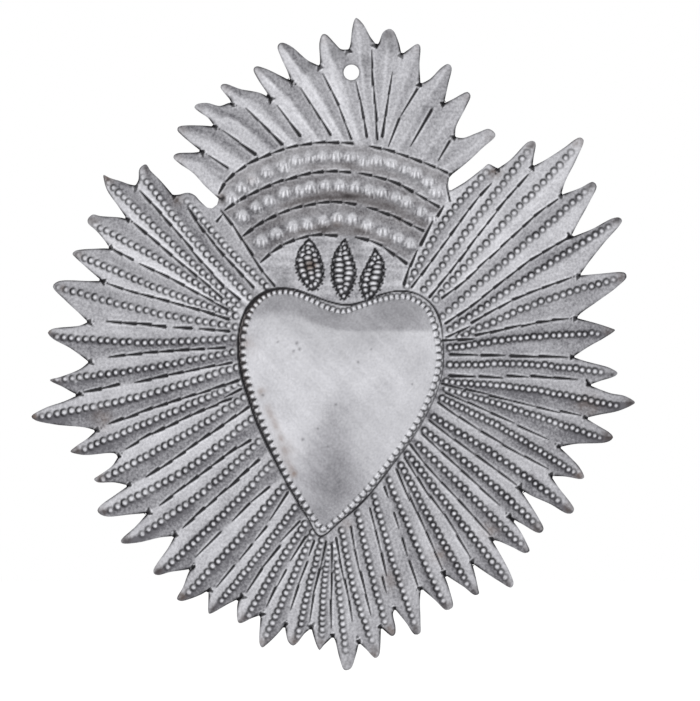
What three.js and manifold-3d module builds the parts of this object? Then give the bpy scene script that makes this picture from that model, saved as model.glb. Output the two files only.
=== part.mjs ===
// A hung folk heart, cut, chased and embossed from one tin sheet: a raised heart in a beaded border,
// a fan of beaded rays on each side, a crown of plain rays over three bossed bands, and three flames.
// Each field is modelled lying down, front up, and the whole heart is then turned upright, so that its
// front faces -Y, +Z is up and the centre of the hanging hole, on the flat back, is the origin.

import * as THREE from 'three';
import Module from 'manifold-3d';

const wasm = await Module();
wasm.setup();

// Driving dimensions, in millimetres
const OVERALL_HEIGHT = 195.6;
const OVERALL_WIDTH = 180.2;
const SHEET_THICKNESS = 0.5;
const HANGING_HOLE_DIAMETER = 4.7;
const HEART_RISE = 9;
const BORDER_WIDTH = 2.8;
const BORDER_BEAD_RISE = 0.7;
const BORDER_BEAD_PITCH = 2.2;
const RAY_BEAD_RISE = 0.6;
const RAY_BEAD_PITCH = 2.1;
const RAY_BEAD_HALF_WIDTHS = [0.8, 0.65];
const BOSS_RISE = 1.3;
const BOSS_PITCH = 4.4;
const BAND_RISE = 0.6;
const KERNEL_RISE = 0.9;
const FLAME_RISE = 0.4;
const TIP_RISE = 0.3;

// Pitch of the ridged rays, as rise over run, and shape of the heart's swell
const RIDGE_PITCH = 0.2;
const SWELL_EDGE = 2.4;
const SWELL_CROWN = 0.7;

// Counts
const KERNELS_PER_ROW = 8;
const HOLE_SIDES = 28;
const CURVE_STEPS = 4;

// Longest step between two points of a chased border, and how finely its curve is searched
const BORDER_STEP = 2.4;
const BORDER_DIVISIONS = 1500;
const STATION_MARGIN = 1e-6;

// Rows of each band, as shares of the way down it, and the row that has the bosses
const BAND_ROWS = [0.27, 0.52, 0.77];
const BOSS_ROW = 1;

// Rings of the heart's swell: share of the way from its middle to its foot, and points in the ring
const SWELL_RINGS = [[0.93, 104], [0.82, 52], [0.67, 52], [0.48, 26], [0.24, 13]];

// Places are read off a front view of the heart, in its columns and rows, and scaled to its real size
const LEFT_COLUMN = 32.5;
const RIGHT_COLUMN = 633;
const TOP_ROW = 18;
const BOTTOM_ROW = 669.8;
const HOLE_COLUMN = 351.4;
const HOLE_ROW = 72.5;
const COLUMN_WIDTH = OVERALL_WIDTH / (RIGHT_COLUMN - LEFT_COLUMN);
const ROW_HEIGHT = OVERALL_HEIGHT / (BOTTOM_ROW - TOP_ROW);

// Each ray: two corners of its cut tip; notch, bend and inner end of the chased line after it; and the
// inner end, middle and outer end of its ridge. The wings run from the crown down, the crown from the left.
const LEFT_WING = [
  [[191, 193], [182, 194], [173.5, 195.5], [205, 233], [259, 295.5], [267, 286.5], [227, 247], [187, 201]],
  [[147.5, 165], [140, 168], [135.5, 186], [184, 240.5], [249, 305.5], [250, 297], [201, 247], [143, 177]],
  [[104.5, 174.5], [103, 177], [127, 218.5], [185, 266], [244.5, 312.5], [239, 305], [174, 245], [109, 183]],
  [[93, 214.3], [87.8, 220.5], [110, 248.5], [165, 276.5], [242.5, 317], [235, 309], [166, 263], [95, 225]],
  [[75, 251], [72.5, 254.5], [102, 281.5], [160, 299], [241, 323], [236, 316], [158, 288], [79, 255.5]],
  [[57.5, 281.5], [53, 287], [88.5, 322], [167, 326.5], [239, 332], [236, 327], [150, 311.5], [59, 287.5]],
  [[51, 329], [48.5, 334.5], [89.5, 362], [165, 351.5], [238, 346.5], [233, 338.5], [145, 342.5], [57, 337]],
  [[50.5, 379], [51, 381.5], [79.5, 394.5], [150, 378.5], [239, 361], [233, 352], [149, 368], [57.5, 380]],
  [[36, 411.5], [32.5, 418.5], [96.5, 430.7], [165, 404], [242, 378], [237, 367], [147, 395], [42.5, 417]],
  [[70.5, 450.5], [71.5, 453], [118.5, 457], [180, 420.5], [246, 393], [241, 383], [164, 416], [85, 449]],
  [[94.3, 477.5], [95.5, 481.5], [128.5, 485.5], [195, 444], [251, 405], [244, 398], [180, 438], [103, 479]],
  [[98.5, 507.5], [99.5, 514], [147.8, 513], [205, 472], [262, 434.5], [252, 419], [189, 468], [111.5, 510]],
  [[120.5, 540], [124, 543.5], [175, 536], [222, 493], [271, 453], [259, 442], [203.5, 492], [143, 534]],
  [[153, 570.5], [157, 575], [193.5, 568], [226, 526], [282, 475], [272, 464], [226, 512], [168, 567]],
  [[177, 598], [182, 601], [209, 590.5], [253, 544], [290, 489], [283.5, 487], [234, 544], [189, 592.5]],
  [[208.5, 612.5], [212.5, 613], [242, 596.5], [276, 550], [304, 513], [295, 508], [261, 553], [222, 600]],
  [[237, 620], [241.5, 623], [260.7, 614.5], [286, 569], [313, 526], [305, 524], [279, 564], [249, 615]],
  [[259.8, 645.5], [263.5, 647], [285.5, 625], [303, 574], [318, 533], [313, 532], [294, 576], [267, 635]],
  [[289.5, 643.5], [296.5, 643.5], [311.5, 628], [318, 577], [326, 532], [322, 540], [310, 584], [298, 636]],
  [[317.5, 648], [321, 649.5], [333.5, 636.8], [331, 590], [331, 529], [329, 547], [324, 589], [322, 634]],
];
const RIGHT_WING = [
  [[486.5, 164.8], [491, 165.2], [498, 168.8], [456, 228], [412, 292], [407, 286], [446, 219.5], [486, 173]],
  [[528, 142], [535.5, 143.5], [532.5, 166.5], [481, 231], [425, 299], [424, 290], [470, 227], [527, 153]],
  [[576, 139], [583.5, 141], [561.3, 195], [500, 249.5], [433, 306], [436, 299], [497, 231], [571, 152.5]],
  [[590.5, 183], [596.5, 186.5], [570.7, 237.5], [508, 278], [441, 327], [443, 316], [516, 252], [585, 192]],
  [[616, 217.5], [622, 220.5], [579.8, 275.7], [505, 304], [442, 339], [450, 330], [533, 274], [608, 227]],
  [[623.5, 272.3], [626.5, 277.5], [576.5, 318], [515, 326], [443, 343], [459, 337], [540, 302], [613, 280]],
  [[613, 328.7], [613, 332], [573.5, 357], [510, 355], [443, 354], [450, 348], [523, 338], [598, 333]],
  [[615, 370], [616, 375.5], [589, 384.7], [520, 376.5], [442, 375], [450, 365], [523, 364], [601, 372]],
  [[632, 399.7], [633, 404.8], [586, 418], [510, 400], [440, 383.5], [446, 381.5], [531, 389.5], [616, 406]],
  [[611, 433.7], [612, 440], [559.7, 447], [495, 415], [437, 390], [447, 389], [514, 409], [600, 438]],
  [[583, 473.5], [582, 479], [551.5, 475.5], [488, 435], [434, 399], [442, 398], [505, 430], [573, 472]],
  [[573.5, 508], [570.5, 513.5], [520.5, 489], [475, 453], [425, 417], [434, 417], [495, 455], [558, 500]],
  [[543, 527], [539.5, 533], [510, 517.5], [463, 473], [418, 429], [424.5, 430], [481, 474.5], [538, 526]],
  [[529.5, 549.5], [525, 553], [492, 540], [450, 491], [408, 443], [419, 445], [471, 496], [520, 544]],
  [[513.5, 582.5], [511.5, 587.5], [472, 563], [436, 505], [402, 453], [408, 454], [456, 516], [505, 577]],
  [[479, 591.5], [475.5, 595], [444, 574], [421, 521], [393, 464.5], [401, 465.5], [435.5, 529], [467, 583]],
  [[453, 605.5], [447, 610], [421, 588], [403, 542], [382, 479], [389.5, 480], [418.5, 548], [443, 601]],
  [[420.3, 632], [415.5, 634.5], [395, 609], [379, 543], [367, 497], [375, 496.5], [391.5, 556], [414, 622]],
  [[395.3, 633], [391.5, 635.8], [381, 627.5], [361, 578], [349, 513], [358, 513], [371, 569], [385, 621]],
  [[380, 654], [375, 658], [359.3, 642.5], [344, 580], [334.5, 527], [342, 530], [353.5, 586], [371.5, 640]],
];
const TAIL_RAY = { tip: [[343, 668.5], [350, 669.8]], ridge: [[334.5, 545.5], [340, 598], [345.5, 650]] };
const CROWN = [
  [[174, 159], [176, 154], [202, 151.5], [215, 160], [234, 173.5], [223, 176], [205, 165], [183, 156.5]],
  [[178, 131.5], [181, 126.2], [214.5, 126.7], [235, 139], [259, 159], [243, 160], [212, 139], [184, 129]],
  [[194.7, 108.5], [199, 103.7], [231.5, 104.5], [258, 120], [285, 149], [270, 148], [232, 120], [202, 106]],
  [[220.8, 88.5], [225, 84], [270.5, 98.5], [287, 119], [304, 145], [292, 141], [255, 111], [227, 87.5]],
  [[253.7, 71], [257.5, 66.3], [291, 81.5], [312, 105], [333, 142.3], [316, 137], [283, 98], [260, 71]],
  [[277.8, 49], [284, 43], [320, 66.5], [338, 104], [354, 143.5], [341, 136], [308, 85], [283, 48.5]],
  [[320.3, 36.5], [326, 34.7], [348.5, 49.8], [358, 92], [367.5, 145.5], [359, 137], [337, 88], [324, 38]],
  [[354, 18.5], [358.5, 18], [377, 45.5], [373.5, 85], [377.5, 147.5], [371.5, 138], [363, 85], [356.5, 22]],
  [[384.5, 30.5], [394, 31], [401.5, 54.5], [388.5, 97], [383, 149], [380.5, 132], [383, 95], [389, 32]],
  [[415.5, 44.8], [420, 46.5], [420.5, 84], [402, 114], [389, 150.5], [386, 136], [398, 102], [416.5, 49]],
  [[445, 65], [451.5, 67.5], [444, 103.5], [426, 119], [408, 156.5], [399, 147], [420, 110], [447, 68]],
  [[464.5, 92.5], [470.5, 97], [455, 137], [447, 146], [436, 168], [424, 156], [442, 130], [466.5, 95.5]],
];
const LAST_CROWN_RAY = {
  tip: [[486.5, 129.3], [495.5, 135.5]],
  ridge: [[446, 166.5], [465, 154], [489, 134]],
};

// Outline of the heart, from its tip up the left side, over the dip and down the right side
const HEART_OUTLINE = [
  [320, 536], [307, 517], [288, 485], [273, 456], [258, 425], [249, 400], [241, 373], [238, 345], [241, 322],
  [248, 307], [260, 295], [275, 289], [292, 289], [312, 295.5], [330, 302], [348, 305], [366, 300.5],
  [383, 294], [400, 291], [418, 294.5], [432, 305], [440, 321], [443, 345], [443, 367], [438, 388],
  [428, 411], [412, 438], [392, 465], [366, 498], [340, 521.5], [320, 536],
];
const HEART_MIDDLE = [341, 398];

// Chased arcs of the crown from the top down, and the notches where the crown meets the wings
const CROWN_ARCS = [
  [[217.5, 196.5], [223, 185], [238, 170.5], [260, 158.5], [288, 148], [318, 142.8], [346, 142.8],
    [375, 147], [405, 155.5], [430, 165], [451, 175]],
  [[222.5, 212], [240, 200], [265, 187.5], [297, 176.5], [325, 171.5], [350, 172], [372, 175.5],
    [398, 183.5], [420, 196], [442.5, 209]],
  [[241, 237.5], [258, 225], [280, 213.5], [303, 206], [325, 202.3], [345, 202.6], [366, 207], [393, 215.5],
    [410, 224.5], [426.5, 232.5]],
  [[258, 264], [279, 247], [305, 237], [320, 234.7], [340, 235.5], [356, 237], [370, 240.5], [387, 248.5],
    [400, 259], [410, 266]],
];
const LEFT_CROWN_NOTCH = [212.5, 209];
const RIGHT_CROWN_NOTCH = [448.8, 191.7];
const LEFT_CROWN_FOOT = [275.5, 288.5];
const RIGHT_CROWN_FOOT = [404, 291];

// Flames: foot and top of each ear, and the columns from its middle to its side
const FLAMES = {
  flame_left: { foot: [313, 289.5], top: [307, 240.5], halfColumns: 13.2 },
  flame_centre: { foot: [343, 299], top: [345.5, 241.5], halfColumns: 12 },
  flame_right: { foot: [366.5, 299], top: [375, 249.5], halfColumns: 11.6 },
};
const FLAME_FULLNESS = 0.8;
const KERNEL_OFFSET = 0.48;

// Turn a place of the front view into a point of the sheet: x to the right, y up, z towards the front
function place([column, row]) {
  return new THREE.Vector3((column - HOLE_COLUMN) * COLUMN_WIDTH, (HOLE_ROW - row) * ROW_HEIGHT, 0);
}

function lifted(point, rise) {
  return new THREE.Vector3(point.x, point.y, rise);
}

function distanceToPath(point, path) {
  const flat = lifted(point, 0);
  const nearest = new THREE.Vector3();
  let least = Infinity;
  for (let i = 1; i < path.length; i += 1) {
    const edge = new THREE.Line3(lifted(path[i - 1], 0), lifted(path[i], 0));
    edge.closestPointToPoint(flat, true, nearest);
    least = Math.min(least, nearest.distanceTo(flat));
  }
  return least;
}

// Twice the flat area of a triangle, positive where its corners run anticlockwise
function turnOf(p, q, r) {
  return (q.x - p.x) * (r.y - p.y) - (r.x - p.x) * (q.y - p.y);
}

// A field of the sheet: points with their rise, and the faces between them
class Field {
  constructor() {
    this.points = [];
    this.faces = [];
    this.numbers = new Map();
  }

  number(point) {
    const key = `${point.x.toFixed(4)} ${point.y.toFixed(4)}`;
    if (!this.numbers.has(key)) {
      this.numbers.set(key, this.points.length);
      this.points.push(point);
    }
    return this.numbers.get(key);
  }

  face(a, b, c) {
    const [p, q, r] = [a, b, c].map((i) => this.points[i]);
    if (a !== b && b !== c && c !== a) {
      this.faces.push(turnOf(p, q, r) > 0 ? [a, b, c] : [a, c, b]);
    }
  }

  // Fill a closed outline, with holes where other fields stand
  patch(outline, holes = []) {
    const corners = [outline, ...holes].flat();
    const triangles = THREE.ShapeUtils.triangulateShape(outline, holes);
    const numbers = corners.map((corner) => this.number(corner));
    for (const [a, b, c] of triangles) {
      this.face(numbers[a], numbers[b], numbers[c]);
    }
  }

  // Join two paths that run side by side, stepping on along whichever lags behind
  strip(one, other) {
    const shareOne = lengthShares(one);
    const shareOther = lengthShares(other);
    let i = 0;
    let j = 0;
    while (i < one.length - 1 || j < other.length - 1) {
      const stepOne = j === other.length - 1
        || (i < one.length - 1 && shareOne[i + 1] <= shareOther[j + 1]);
      const apex = stepOne ? one[i + 1] : other[j + 1];
      this.face(this.number(one[i]), this.number(other[j]), this.number(apex));
      if (stepOne) {
        i += 1;
      } else {
        j += 1;
      }
    }
  }

  // Edges with a face on one side only, each as its pair of points
  rim() {
    const open = new Map();
    for (const [a, b, c] of this.faces) {
      for (const [from, to] of [[a, b], [b, c], [c, a]]) {
        if (!open.delete(`${to} ${from}`)) {
          open.set(`${from} ${to}`, [this.points[from], this.points[to]]);
        }
      }
    }
    return [...open.values()];
  }
}

function lengthShares(path) {
  const lengths = [0];
  for (let i = 1; i < path.length; i += 1) {
    const step = Math.hypot(path[i].x - path[i - 1].x, path[i].y - path[i - 1].y);
    lengths.push(lengths[i - 1] + step);
  }
  return lengths.map((length) => length / lengths.at(-1));
}

// Give a field the thickness of the sheet: its front, its back and a wall along its rim
function thicken(front, back = front) {
  const positions = [];
  for (const point of front.points) {
    positions.push(point.x, point.y, point.z + SHEET_THICKNESS);
  }
  for (const point of back.points) {
    positions.push(point.x, point.y, point.z);
  }
  const behind = front.points.length;
  const triangles = [];
  for (const [a, b, c] of front.faces) {
    triangles.push(a, b, c);
  }
  for (const [a, b, c] of back.faces) {
    triangles.push(behind + a, behind + c, behind + b);
  }
  for (const [from, to] of front.rim()) {
    const [a, b] = [front.number(from), front.number(to)];
    const [c, d] = [behind + back.number(from), behind + back.number(to)];
    triangles.push(a, c, d, a, d, b);
  }
  return { positions: new Float32Array(positions), triangles: new Uint32Array(triangles) };
}

function geometryOf({ positions, triangles }) {
  const geometry = new THREE.BufferGeometry();
  geometry.setAttribute('position', new THREE.BufferAttribute(positions, 3));
  geometry.setIndex(new THREE.BufferAttribute(triangles, 1));
  geometry.computeVertexNormals();
  return geometry;
}

function manifoldOf({ positions, triangles }) {
  const mesh = new wasm.Mesh({ numProp: 3, vertProperties: positions, triVerts: triangles });
  mesh.merge();
  return new wasm.Manifold(mesh);
}

// A chased line that fields share: its stations are the points that all of them use along it
class Border {
  constructor(places, closed) {
    this.curve = new THREE.CatmullRomCurve3(places.map(place));
    this.curve.arcLengthDivisions = BORDER_DIVISIONS;
    this.samples = this.curve.getSpacedPoints(BORDER_DIVISIONS);
    this.closed = closed;
    this.stations = new Set(closed ? [0] : [0, 1]);
  }

  // Share of the way along the line that lies nearest to a place
  shareAt(spot) {
    const target = place(spot);
    const distances = this.samples.map((sample) => sample.distanceTo(target));
    const share = distances.indexOf(Math.min(...distances)) / BORDER_DIVISIONS;
    return this.closed ? share % 1 : share;
  }

  way(from, to) {
    const ahead = to - from;
    return this.closed ? ahead - Math.round(ahead) : ahead;
  }

  // Mark the inner ends of a fan's lines, and the ridge between each two of them
  mark(shares) {
    for (const [i, share] of shares.entries()) {
      this.stations.add(share);
      if (i > 0) {
        this.stations.add(this.middle(shares[i - 1], share));
      }
    }
  }

  middle(from, to) {
    return (from + this.way(from, to) / 2 + 1) % 1;
  }

  // Add stations wherever two neighbours lie further apart than a step
  fill(step) {
    const sorted = [...this.stations].sort((a, b) => a - b);
    const ends = this.closed ? [...sorted, 1] : sorted;
    for (let i = 1; i < ends.length; i += 1) {
      const gap = ends[i] - ends[i - 1];
      const parts = Math.ceil(gap * this.curve.getLength() / step);
      for (let part = 1; part < parts; part += 1) {
        this.stations.add(ends[i - 1] + gap * part / parts);
      }
    }
  }

  point(share) {
    return this.curve.getPointAt(share);
  }

  // The whole closed line, back to where it starts
  loop() {
    const sorted = [...this.stations].sort((a, b) => a - b);
    return [...sorted, 0].map((station) => this.point(station));
  }

  // Points from one station to another, both included, the short way round
  path(from, to) {
    const way = this.way(from, to);
    const inside = [];
    for (const station of this.stations) {
      const along = Math.sign(way) * this.way(from, station);
      if (along > STATION_MARGIN && along < Math.abs(way) - STATION_MARGIN) {
        inside.push([along, station]);
      }
    }
    inside.sort((a, b) => a[0] - b[0]);
    return [from, ...inside.map(([, station]) => station), to].map((station) => this.point(station));
  }
}

// Rays: each is a folded roof between two chased lines, with its ridge running out to the cut tip
function planRay({ tip, ridge }, before, after, border) {
  const [cornerBefore, cornerAfter] = tip.map((corner) => lifted(place(corner), TIP_RISE));
  const outer = [before.path[0], cornerBefore, cornerAfter, after.path[0]];
  const feet = [before.path, after.path, outer].filter((path) => path.length > 1);
  const middle = border.middle(before.share, after.share);
  const end = cornerBefore.clone().lerp(cornerAfter, 0.5);
  const edgeAlong = (line, corner) => {
    const inner = border.path(middle, line.share).slice(0, -1);
    return [...inner, ...[...line.path].reverse(), corner, end];
  };
  return {
    notchBefore: before.path[0],
    edgeBefore: edgeAlong(before, cornerBefore),
    edgeAfter: edgeAlong(after, cornerAfter),
    ridge: new THREE.CatmullRomCurve3(ridge.map(place)),
    clearance: (point) => Math.min(...feet.map((path) => distanceToPath(point, path))),
  };
}

function onRoof(plan, point) {
  return lifted(point, RIDGE_PITCH * plan.clearance(point));
}

// The two flanks of a ray, each between one of its edges and its own side of the ridge
function addFlanks(field, { edgeBefore, edgeAfter }, sideBefore, sideAfter) {
  field.patch([...edgeBefore, ...[...sideBefore].reverse()]);
  field.patch([...edgeAfter, ...[...sideAfter].reverse()]);
}

function addPlainRay(field, plan) {
  const crest = plan.ridge.getPoints(CURVE_STEPS).map((point) => onRoof(plan, point));
  addFlanks(field, plan, crest, crest);
}

// A ray whose ridge carries a chain of beads, each a low stud. Wider and narrower feet take turns, so that
// no three of them lie in line.
function addBeadedRay(field, plan) {
  const count = Math.max(1, Math.round(plan.ridge.getLength() / RAY_BEAD_PITCH));
  const feet = [];
  for (let i = 0; i <= count; i += 1) {
    const middle = plan.ridge.getPointAt(i / count);
    const along = plan.ridge.getTangentAt(i / count);
    const across = new THREE.Vector3(-along.y, along.x, 0);
    const turn = Math.sign(across.dot(plan.notchBefore.clone().sub(middle)));
    const halfWidth = RAY_BEAD_HALF_WIDTHS[i % RAY_BEAD_HALF_WIDTHS.length];
    const reach = i % count === 0 ? 0 : Math.min(halfWidth, plan.clearance(middle) / 2);
    const sides = [turn, -turn].map((way) => middle.clone().addScaledVector(across, way * reach));
    feet.push(sides.map((side) => onRoof(plan, side)));
  }
  addFlanks(field, plan, feet.map(([left]) => left), feet.map(([, right]) => right));
  for (let i = 0; i < count; i += 1) {
    const crest = onRoof(plan, plan.ridge.getPointAt((i + 0.5) / count));
    const peak = field.number(lifted(crest, crest.z + RAY_BEAD_RISE));
    const ring = [...feet[i], ...[...feet[i + 1]].reverse()].map((point) => field.number(point));
    for (const [j, corner] of ring.entries()) {
      field.face(corner, ring[(j + 1) % ring.length], peak);
    }
  }
}

function chasedLine(ray, border) {
  const [notch, bend, root] = ray.slice(2, 5);
  const share = border.shareAt(root);
  const curve = new THREE.CatmullRomCurve3([place(notch), place(bend), border.point(share)]);
  return { share, path: curve.getPoints(CURVE_STEPS) };
}

// A fan of rays along a border, each between two of its lines. Behind, the ridges are plain.
function fanShape(rays, lines, border, addRay) {
  const front = new Field();
  const back = new Field();
  for (const [i, ray] of rays.entries()) {
    const plan = planRay(ray, lines[i], lines[i + 1], border);
    addRay(front, plan);
    addPlainRay(back, plan);
  }
  return thicken(front, back);
}

function tipAndRidge(ray) {
  return { tip: ray.slice(0, 2), ridge: ray.slice(5) };
}

// Cut the hanging hole through the crown
function withHangingHole(shape) {
  const radius = HANGING_HOLE_DIAMETER / 2;
  const punch = new THREE.CylinderGeometry(radius, radius, OVERALL_HEIGHT, HOLE_SIDES).rotateX(Math.PI / 2);
  const drill = manifoldOf({
    positions: new Float32Array(punch.attributes.position.array),
    triangles: new Uint32Array(punch.index.array),
  });
  const cut = manifoldOf(shape).subtract(drill).getMesh();
  return { positions: new Float32Array(cut.vertProperties), triangles: new Uint32Array(cut.triVerts) };
}

// Bands: a low fold between two chased arcs, with a row of bosses pushed up from behind
function bandField({ upper, lower, leftEnds, rightEnds }) {
  const columns = 2 * Math.round((upper.arc.getLength() + lower.arc.getLength()) / 2 / BOSS_PITCH);
  const rows = BAND_ROWS.map((share, row) => {
    const points = [leftEnds[row]];
    for (let column = 1; column < columns; column += 1) {
      const [above, below] = [upper, lower].map(({ arc }) => arc.getPointAt(column / columns));
      const point = above.lerp(below, share);
      const onBoss = row === BOSS_ROW && column % 2 === 1;
      points.push(lifted(point, onBoss ? BOSS_RISE : BAND_RISE));
    }
    return [...points, rightEnds[row]];
  });
  const field = new Field();
  const paths = [upper.path, ...rows, lower.path];
  for (let i = 1; i < paths.length; i += 1) {
    field.strip(paths[i - 1], paths[i]);
  }
  return field;
}

// Ends of a band's rows, on a straight side or round the notch beside a wing
function rowEnds(from, to) {
  return BAND_ROWS.map((share) => from.clone().lerp(to, share));
}

function rowEndsRound(from, notch, to) {
  return [from.clone().lerp(notch, 0.5), notch, notch.clone().lerp(to, 0.5)];
}

// Flames: an ear with two columns of kernels, in an outline that swells and tapers like a leaf
function flameOutline({ foot, top, halfColumns }) {
  const [start, end] = [place(foot), place(top)];
  const across = new THREE.Vector3(end.y - start.y, start.x - end.x, 0).normalize();
  const stations = [];
  for (let i = 0; i <= 2 * KERNELS_PER_ROW; i += 1) {
    const share = i / (2 * KERNELS_PER_ROW);
    const width = halfColumns * COLUMN_WIDTH * Math.sin(Math.PI * share ** FLAME_FULLNESS);
    stations.push({ centre: start.clone().lerp(end, share), side: across.clone().multiplyScalar(width) });
  }
  return stations;
}

function flamePath(stations) {
  const inner = stations.slice(1, -1);
  const right = inner.map(({ centre, side }) => centre.clone().add(side));
  const left = inner.map(({ centre, side }) => centre.clone().sub(side));
  return [stations[0].centre, ...right, stations.at(-1).centre, ...left.reverse()];
}

function flameField(stations) {
  const field = new Field();
  const rows = stations.slice(1, -1).map(({ centre, side }, i) => {
    const kernelRow = i % 2 === 0;
    const kernel = kernelRow ? KERNEL_RISE : FLAME_RISE;
    const offsets = [[-1, 0], [-KERNEL_OFFSET, kernel], [0, FLAME_RISE], [KERNEL_OFFSET, kernel], [1, 0]];
    return offsets.map(([share, rise]) => lifted(centre.clone().addScaledVector(side, share), rise));
  });
  const ends = [[rows[0], stations[0].centre], [rows.at(-1), stations.at(-1).centre]];
  for (const [row, point] of ends) {
    for (let i = 1; i < row.length; i += 1) {
      field.face(field.number(row[i - 1]), field.number(row[i]), field.number(point));
    }
  }
  for (let i = 1; i < rows.length; i += 1) {
    field.strip(rows[i - 1], rows[i]);
  }
  return field;
}

// Heart: rings drawn in from the outline towards the middle
function heartRing(border, share, count, riseAt) {
  const middle = place(HEART_MIDDLE);
  const ring = [];
  for (let i = 0; i <= count; i += 1) {
    const point = border.point((i % count) / count).lerp(middle, 1 - share);
    ring.push(lifted(point, riseAt(i)));
  }
  return ring;
}

function swell(share) {
  return HEART_RISE * (1 - share ** SWELL_EDGE) ** SWELL_CROWN;
}

// Share of the way from the middle of the heart to its outline where the beaded border starts
function borderFoot(border) {
  const middle = place(HEART_MIDDLE);
  const reaches = border.samples.map((sample) => sample.distanceTo(middle));
  const meanReach = reaches.reduce((sum, reach) => sum + reach, 0) / reaches.length;
  return 1 - BORDER_WIDTH / meanReach;
}

function borderFields(border, outline, beadCount) {
  const front = new Field();
  const back = new Field();
  const foot = borderFoot(border);
  const inner = heartRing(border, foot, beadCount, () => 0);
  const beadRise = (i) => (i % 2 === 1 ? BORDER_BEAD_RISE : 0);
  const beads = heartRing(border, (1 + foot) / 2, 2 * beadCount, beadRise);
  front.strip(outline, beads);
  front.strip(beads, inner);
  back.strip(outline, inner);
  return { front, back };
}

function domeField(border, beadCount) {
  const field = new Field();
  const foot = borderFoot(border);
  let outer = heartRing(border, foot, beadCount, () => 0);
  for (const [share, count] of SWELL_RINGS) {
    const ring = heartRing(border, share * foot, count, () => swell(share));
    field.strip(outer, ring);
    outer = ring;
  }
  const summit = field.number(lifted(place(HEART_MIDDLE), HEART_RISE));
  for (let i = 1; i < outer.length; i += 1) {
    field.face(field.number(outer[i - 1]), field.number(outer[i]), summit);
  }
  return field;
}

// The shared chased lines: outline of the heart, arcs of the crown, and the lines between the rays
const heartBorder = new Border(HEART_OUTLINE, true);
const crownBorder = new Border(CROWN_ARCS[0], false);
const lowerArcs = CROWN_ARCS.slice(1).map((places) => {
  const arc = new THREE.CatmullRomCurve3(places.map(place));
  return { arc, path: arc.getSpacedPoints(Math.ceil(arc.getLength() / BORDER_STEP)) };
});

function crownSide(notch, foot, end) {
  const share = heartBorder.shareAt(foot);
  const stops = lowerArcs.map(({ path }) => path.at(end));
  return { share, path: [place(notch), ...stops, heartBorder.point(share)] };
}

const leftSide = crownSide(LEFT_CROWN_NOTCH, LEFT_CROWN_FOOT, 0);
const rightSide = crownSide(RIGHT_CROWN_NOTCH, RIGHT_CROWN_FOOT, -1);
const leftLines = [leftSide, ...LEFT_WING.map((ray) => chasedLine(ray, heartBorder))];
const rightLines = [rightSide, ...RIGHT_WING.map((ray) => chasedLine(ray, heartBorder))];
const tailLines = [leftLines.at(-1), rightLines.at(-1)];
const crownLines = [
  { share: 0, path: [crownBorder.point(0)] },
  ...CROWN.map((ray) => chasedLine(ray, crownBorder)),
  { share: 1, path: [crownBorder.point(1)] },
];
for (const lines of [leftLines, rightLines, tailLines]) {
  heartBorder.mark(lines.map((line) => line.share));
}
crownBorder.mark(crownLines.map((line) => line.share));
heartBorder.fill(BORDER_STEP);
crownBorder.fill(BORDER_STEP);
const topArc = { arc: crownBorder.curve, path: crownBorder.path(0, 1) };

// Bands of the crown from the top down
function crownBands() {
  const notches = [LEFT_CROWN_NOTCH, RIGHT_CROWN_NOTCH].map(place);
  const bounds = [topArc, ...lowerArcs];
  return bounds.slice(1).map((lower, i) => {
    const upper = bounds[i];
    const [leftEnds, rightEnds] = [0, -1].map((end, side) => {
      const [from, to] = [upper.path.at(end), lower.path.at(end)];
      return i === 0 ? rowEndsRound(from, notches[side], to) : rowEnds(from, to);
    });
    return bandField({ upper, lower, leftEnds, rightEnds });
  });
}

// The flat field behind the flames, between the lowest arc, the crown's sides and the heart
function flameGround(flames) {
  const field = new Field();
  const underside = heartBorder.path(rightSide.share, leftSide.share);
  field.patch([...lowerArcs.at(-1).path, ...underside], flames.map(flamePath));
  return field;
}

// Tin, chased and dull, or rubbed bright on the raised heart
const CHASED_TIN = new THREE.MeshStandardMaterial({ color: '#a5a4aa', roughness: 0.45, metalness: 1 });
const BRIGHT_TIN = new THREE.MeshStandardMaterial({ color: '#cdced4', roughness: 0.3, metalness: 1 });

const heart = new THREE.Group();
heart.name = 'winged_milagro_heart';
heart.rotation.x = Math.PI / 2;

function addPiece(name, shape, material) {
  const mesh = new THREE.Mesh(geometryOf(shape), material);
  mesh.name = name;
  heart.add(mesh);
}

const flameStations = Object.values(FLAMES).map(flameOutline);
const crownRays = [...CROWN.map(tipAndRidge), LAST_CROWN_RAY];
const crownFan = fanShape(crownRays, crownLines, crownBorder, addPlainRay);
const [upperBand, middleBand, lowerBand] = crownBands();
const beadCount = Math.round(heartBorder.curve.getLength() / BORDER_BEAD_PITCH);
const beadBorder = borderFields(heartBorder, heartBorder.loop(), beadCount);
const [leftRays, rightRays] = [LEFT_WING, RIGHT_WING].map((wing) => wing.map(tipAndRidge));

addPiece('heart_dome', thicken(domeField(heartBorder, beadCount)), BRIGHT_TIN);
addPiece('heart_bead_border', thicken(beadBorder.front, beadBorder.back), CHASED_TIN);
addPiece('left_wing', fanShape(leftRays, leftLines, heartBorder, addBeadedRay), CHASED_TIN);
addPiece('right_wing', fanShape(rightRays, rightLines, heartBorder, addBeadedRay), CHASED_TIN);
addPiece('tail_ray', fanShape([TAIL_RAY], tailLines, heartBorder, addBeadedRay), CHASED_TIN);
addPiece('crown_rays', withHangingHole(crownFan), CHASED_TIN);
addPiece('crown_band_upper', thicken(upperBand), CHASED_TIN);
addPiece('crown_band_middle', thicken(middleBand), CHASED_TIN);
addPiece('crown_band_lower', thicken(lowerBand), CHASED_TIN);
addPiece('flame_field', thicken(flameGround(flameStations)), CHASED_TIN);
for (const [i, name] of Object.keys(FLAMES).entries()) {
  addPiece(name, thicken(flameField(flameStations[i])), CHASED_TIN);
}

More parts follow.
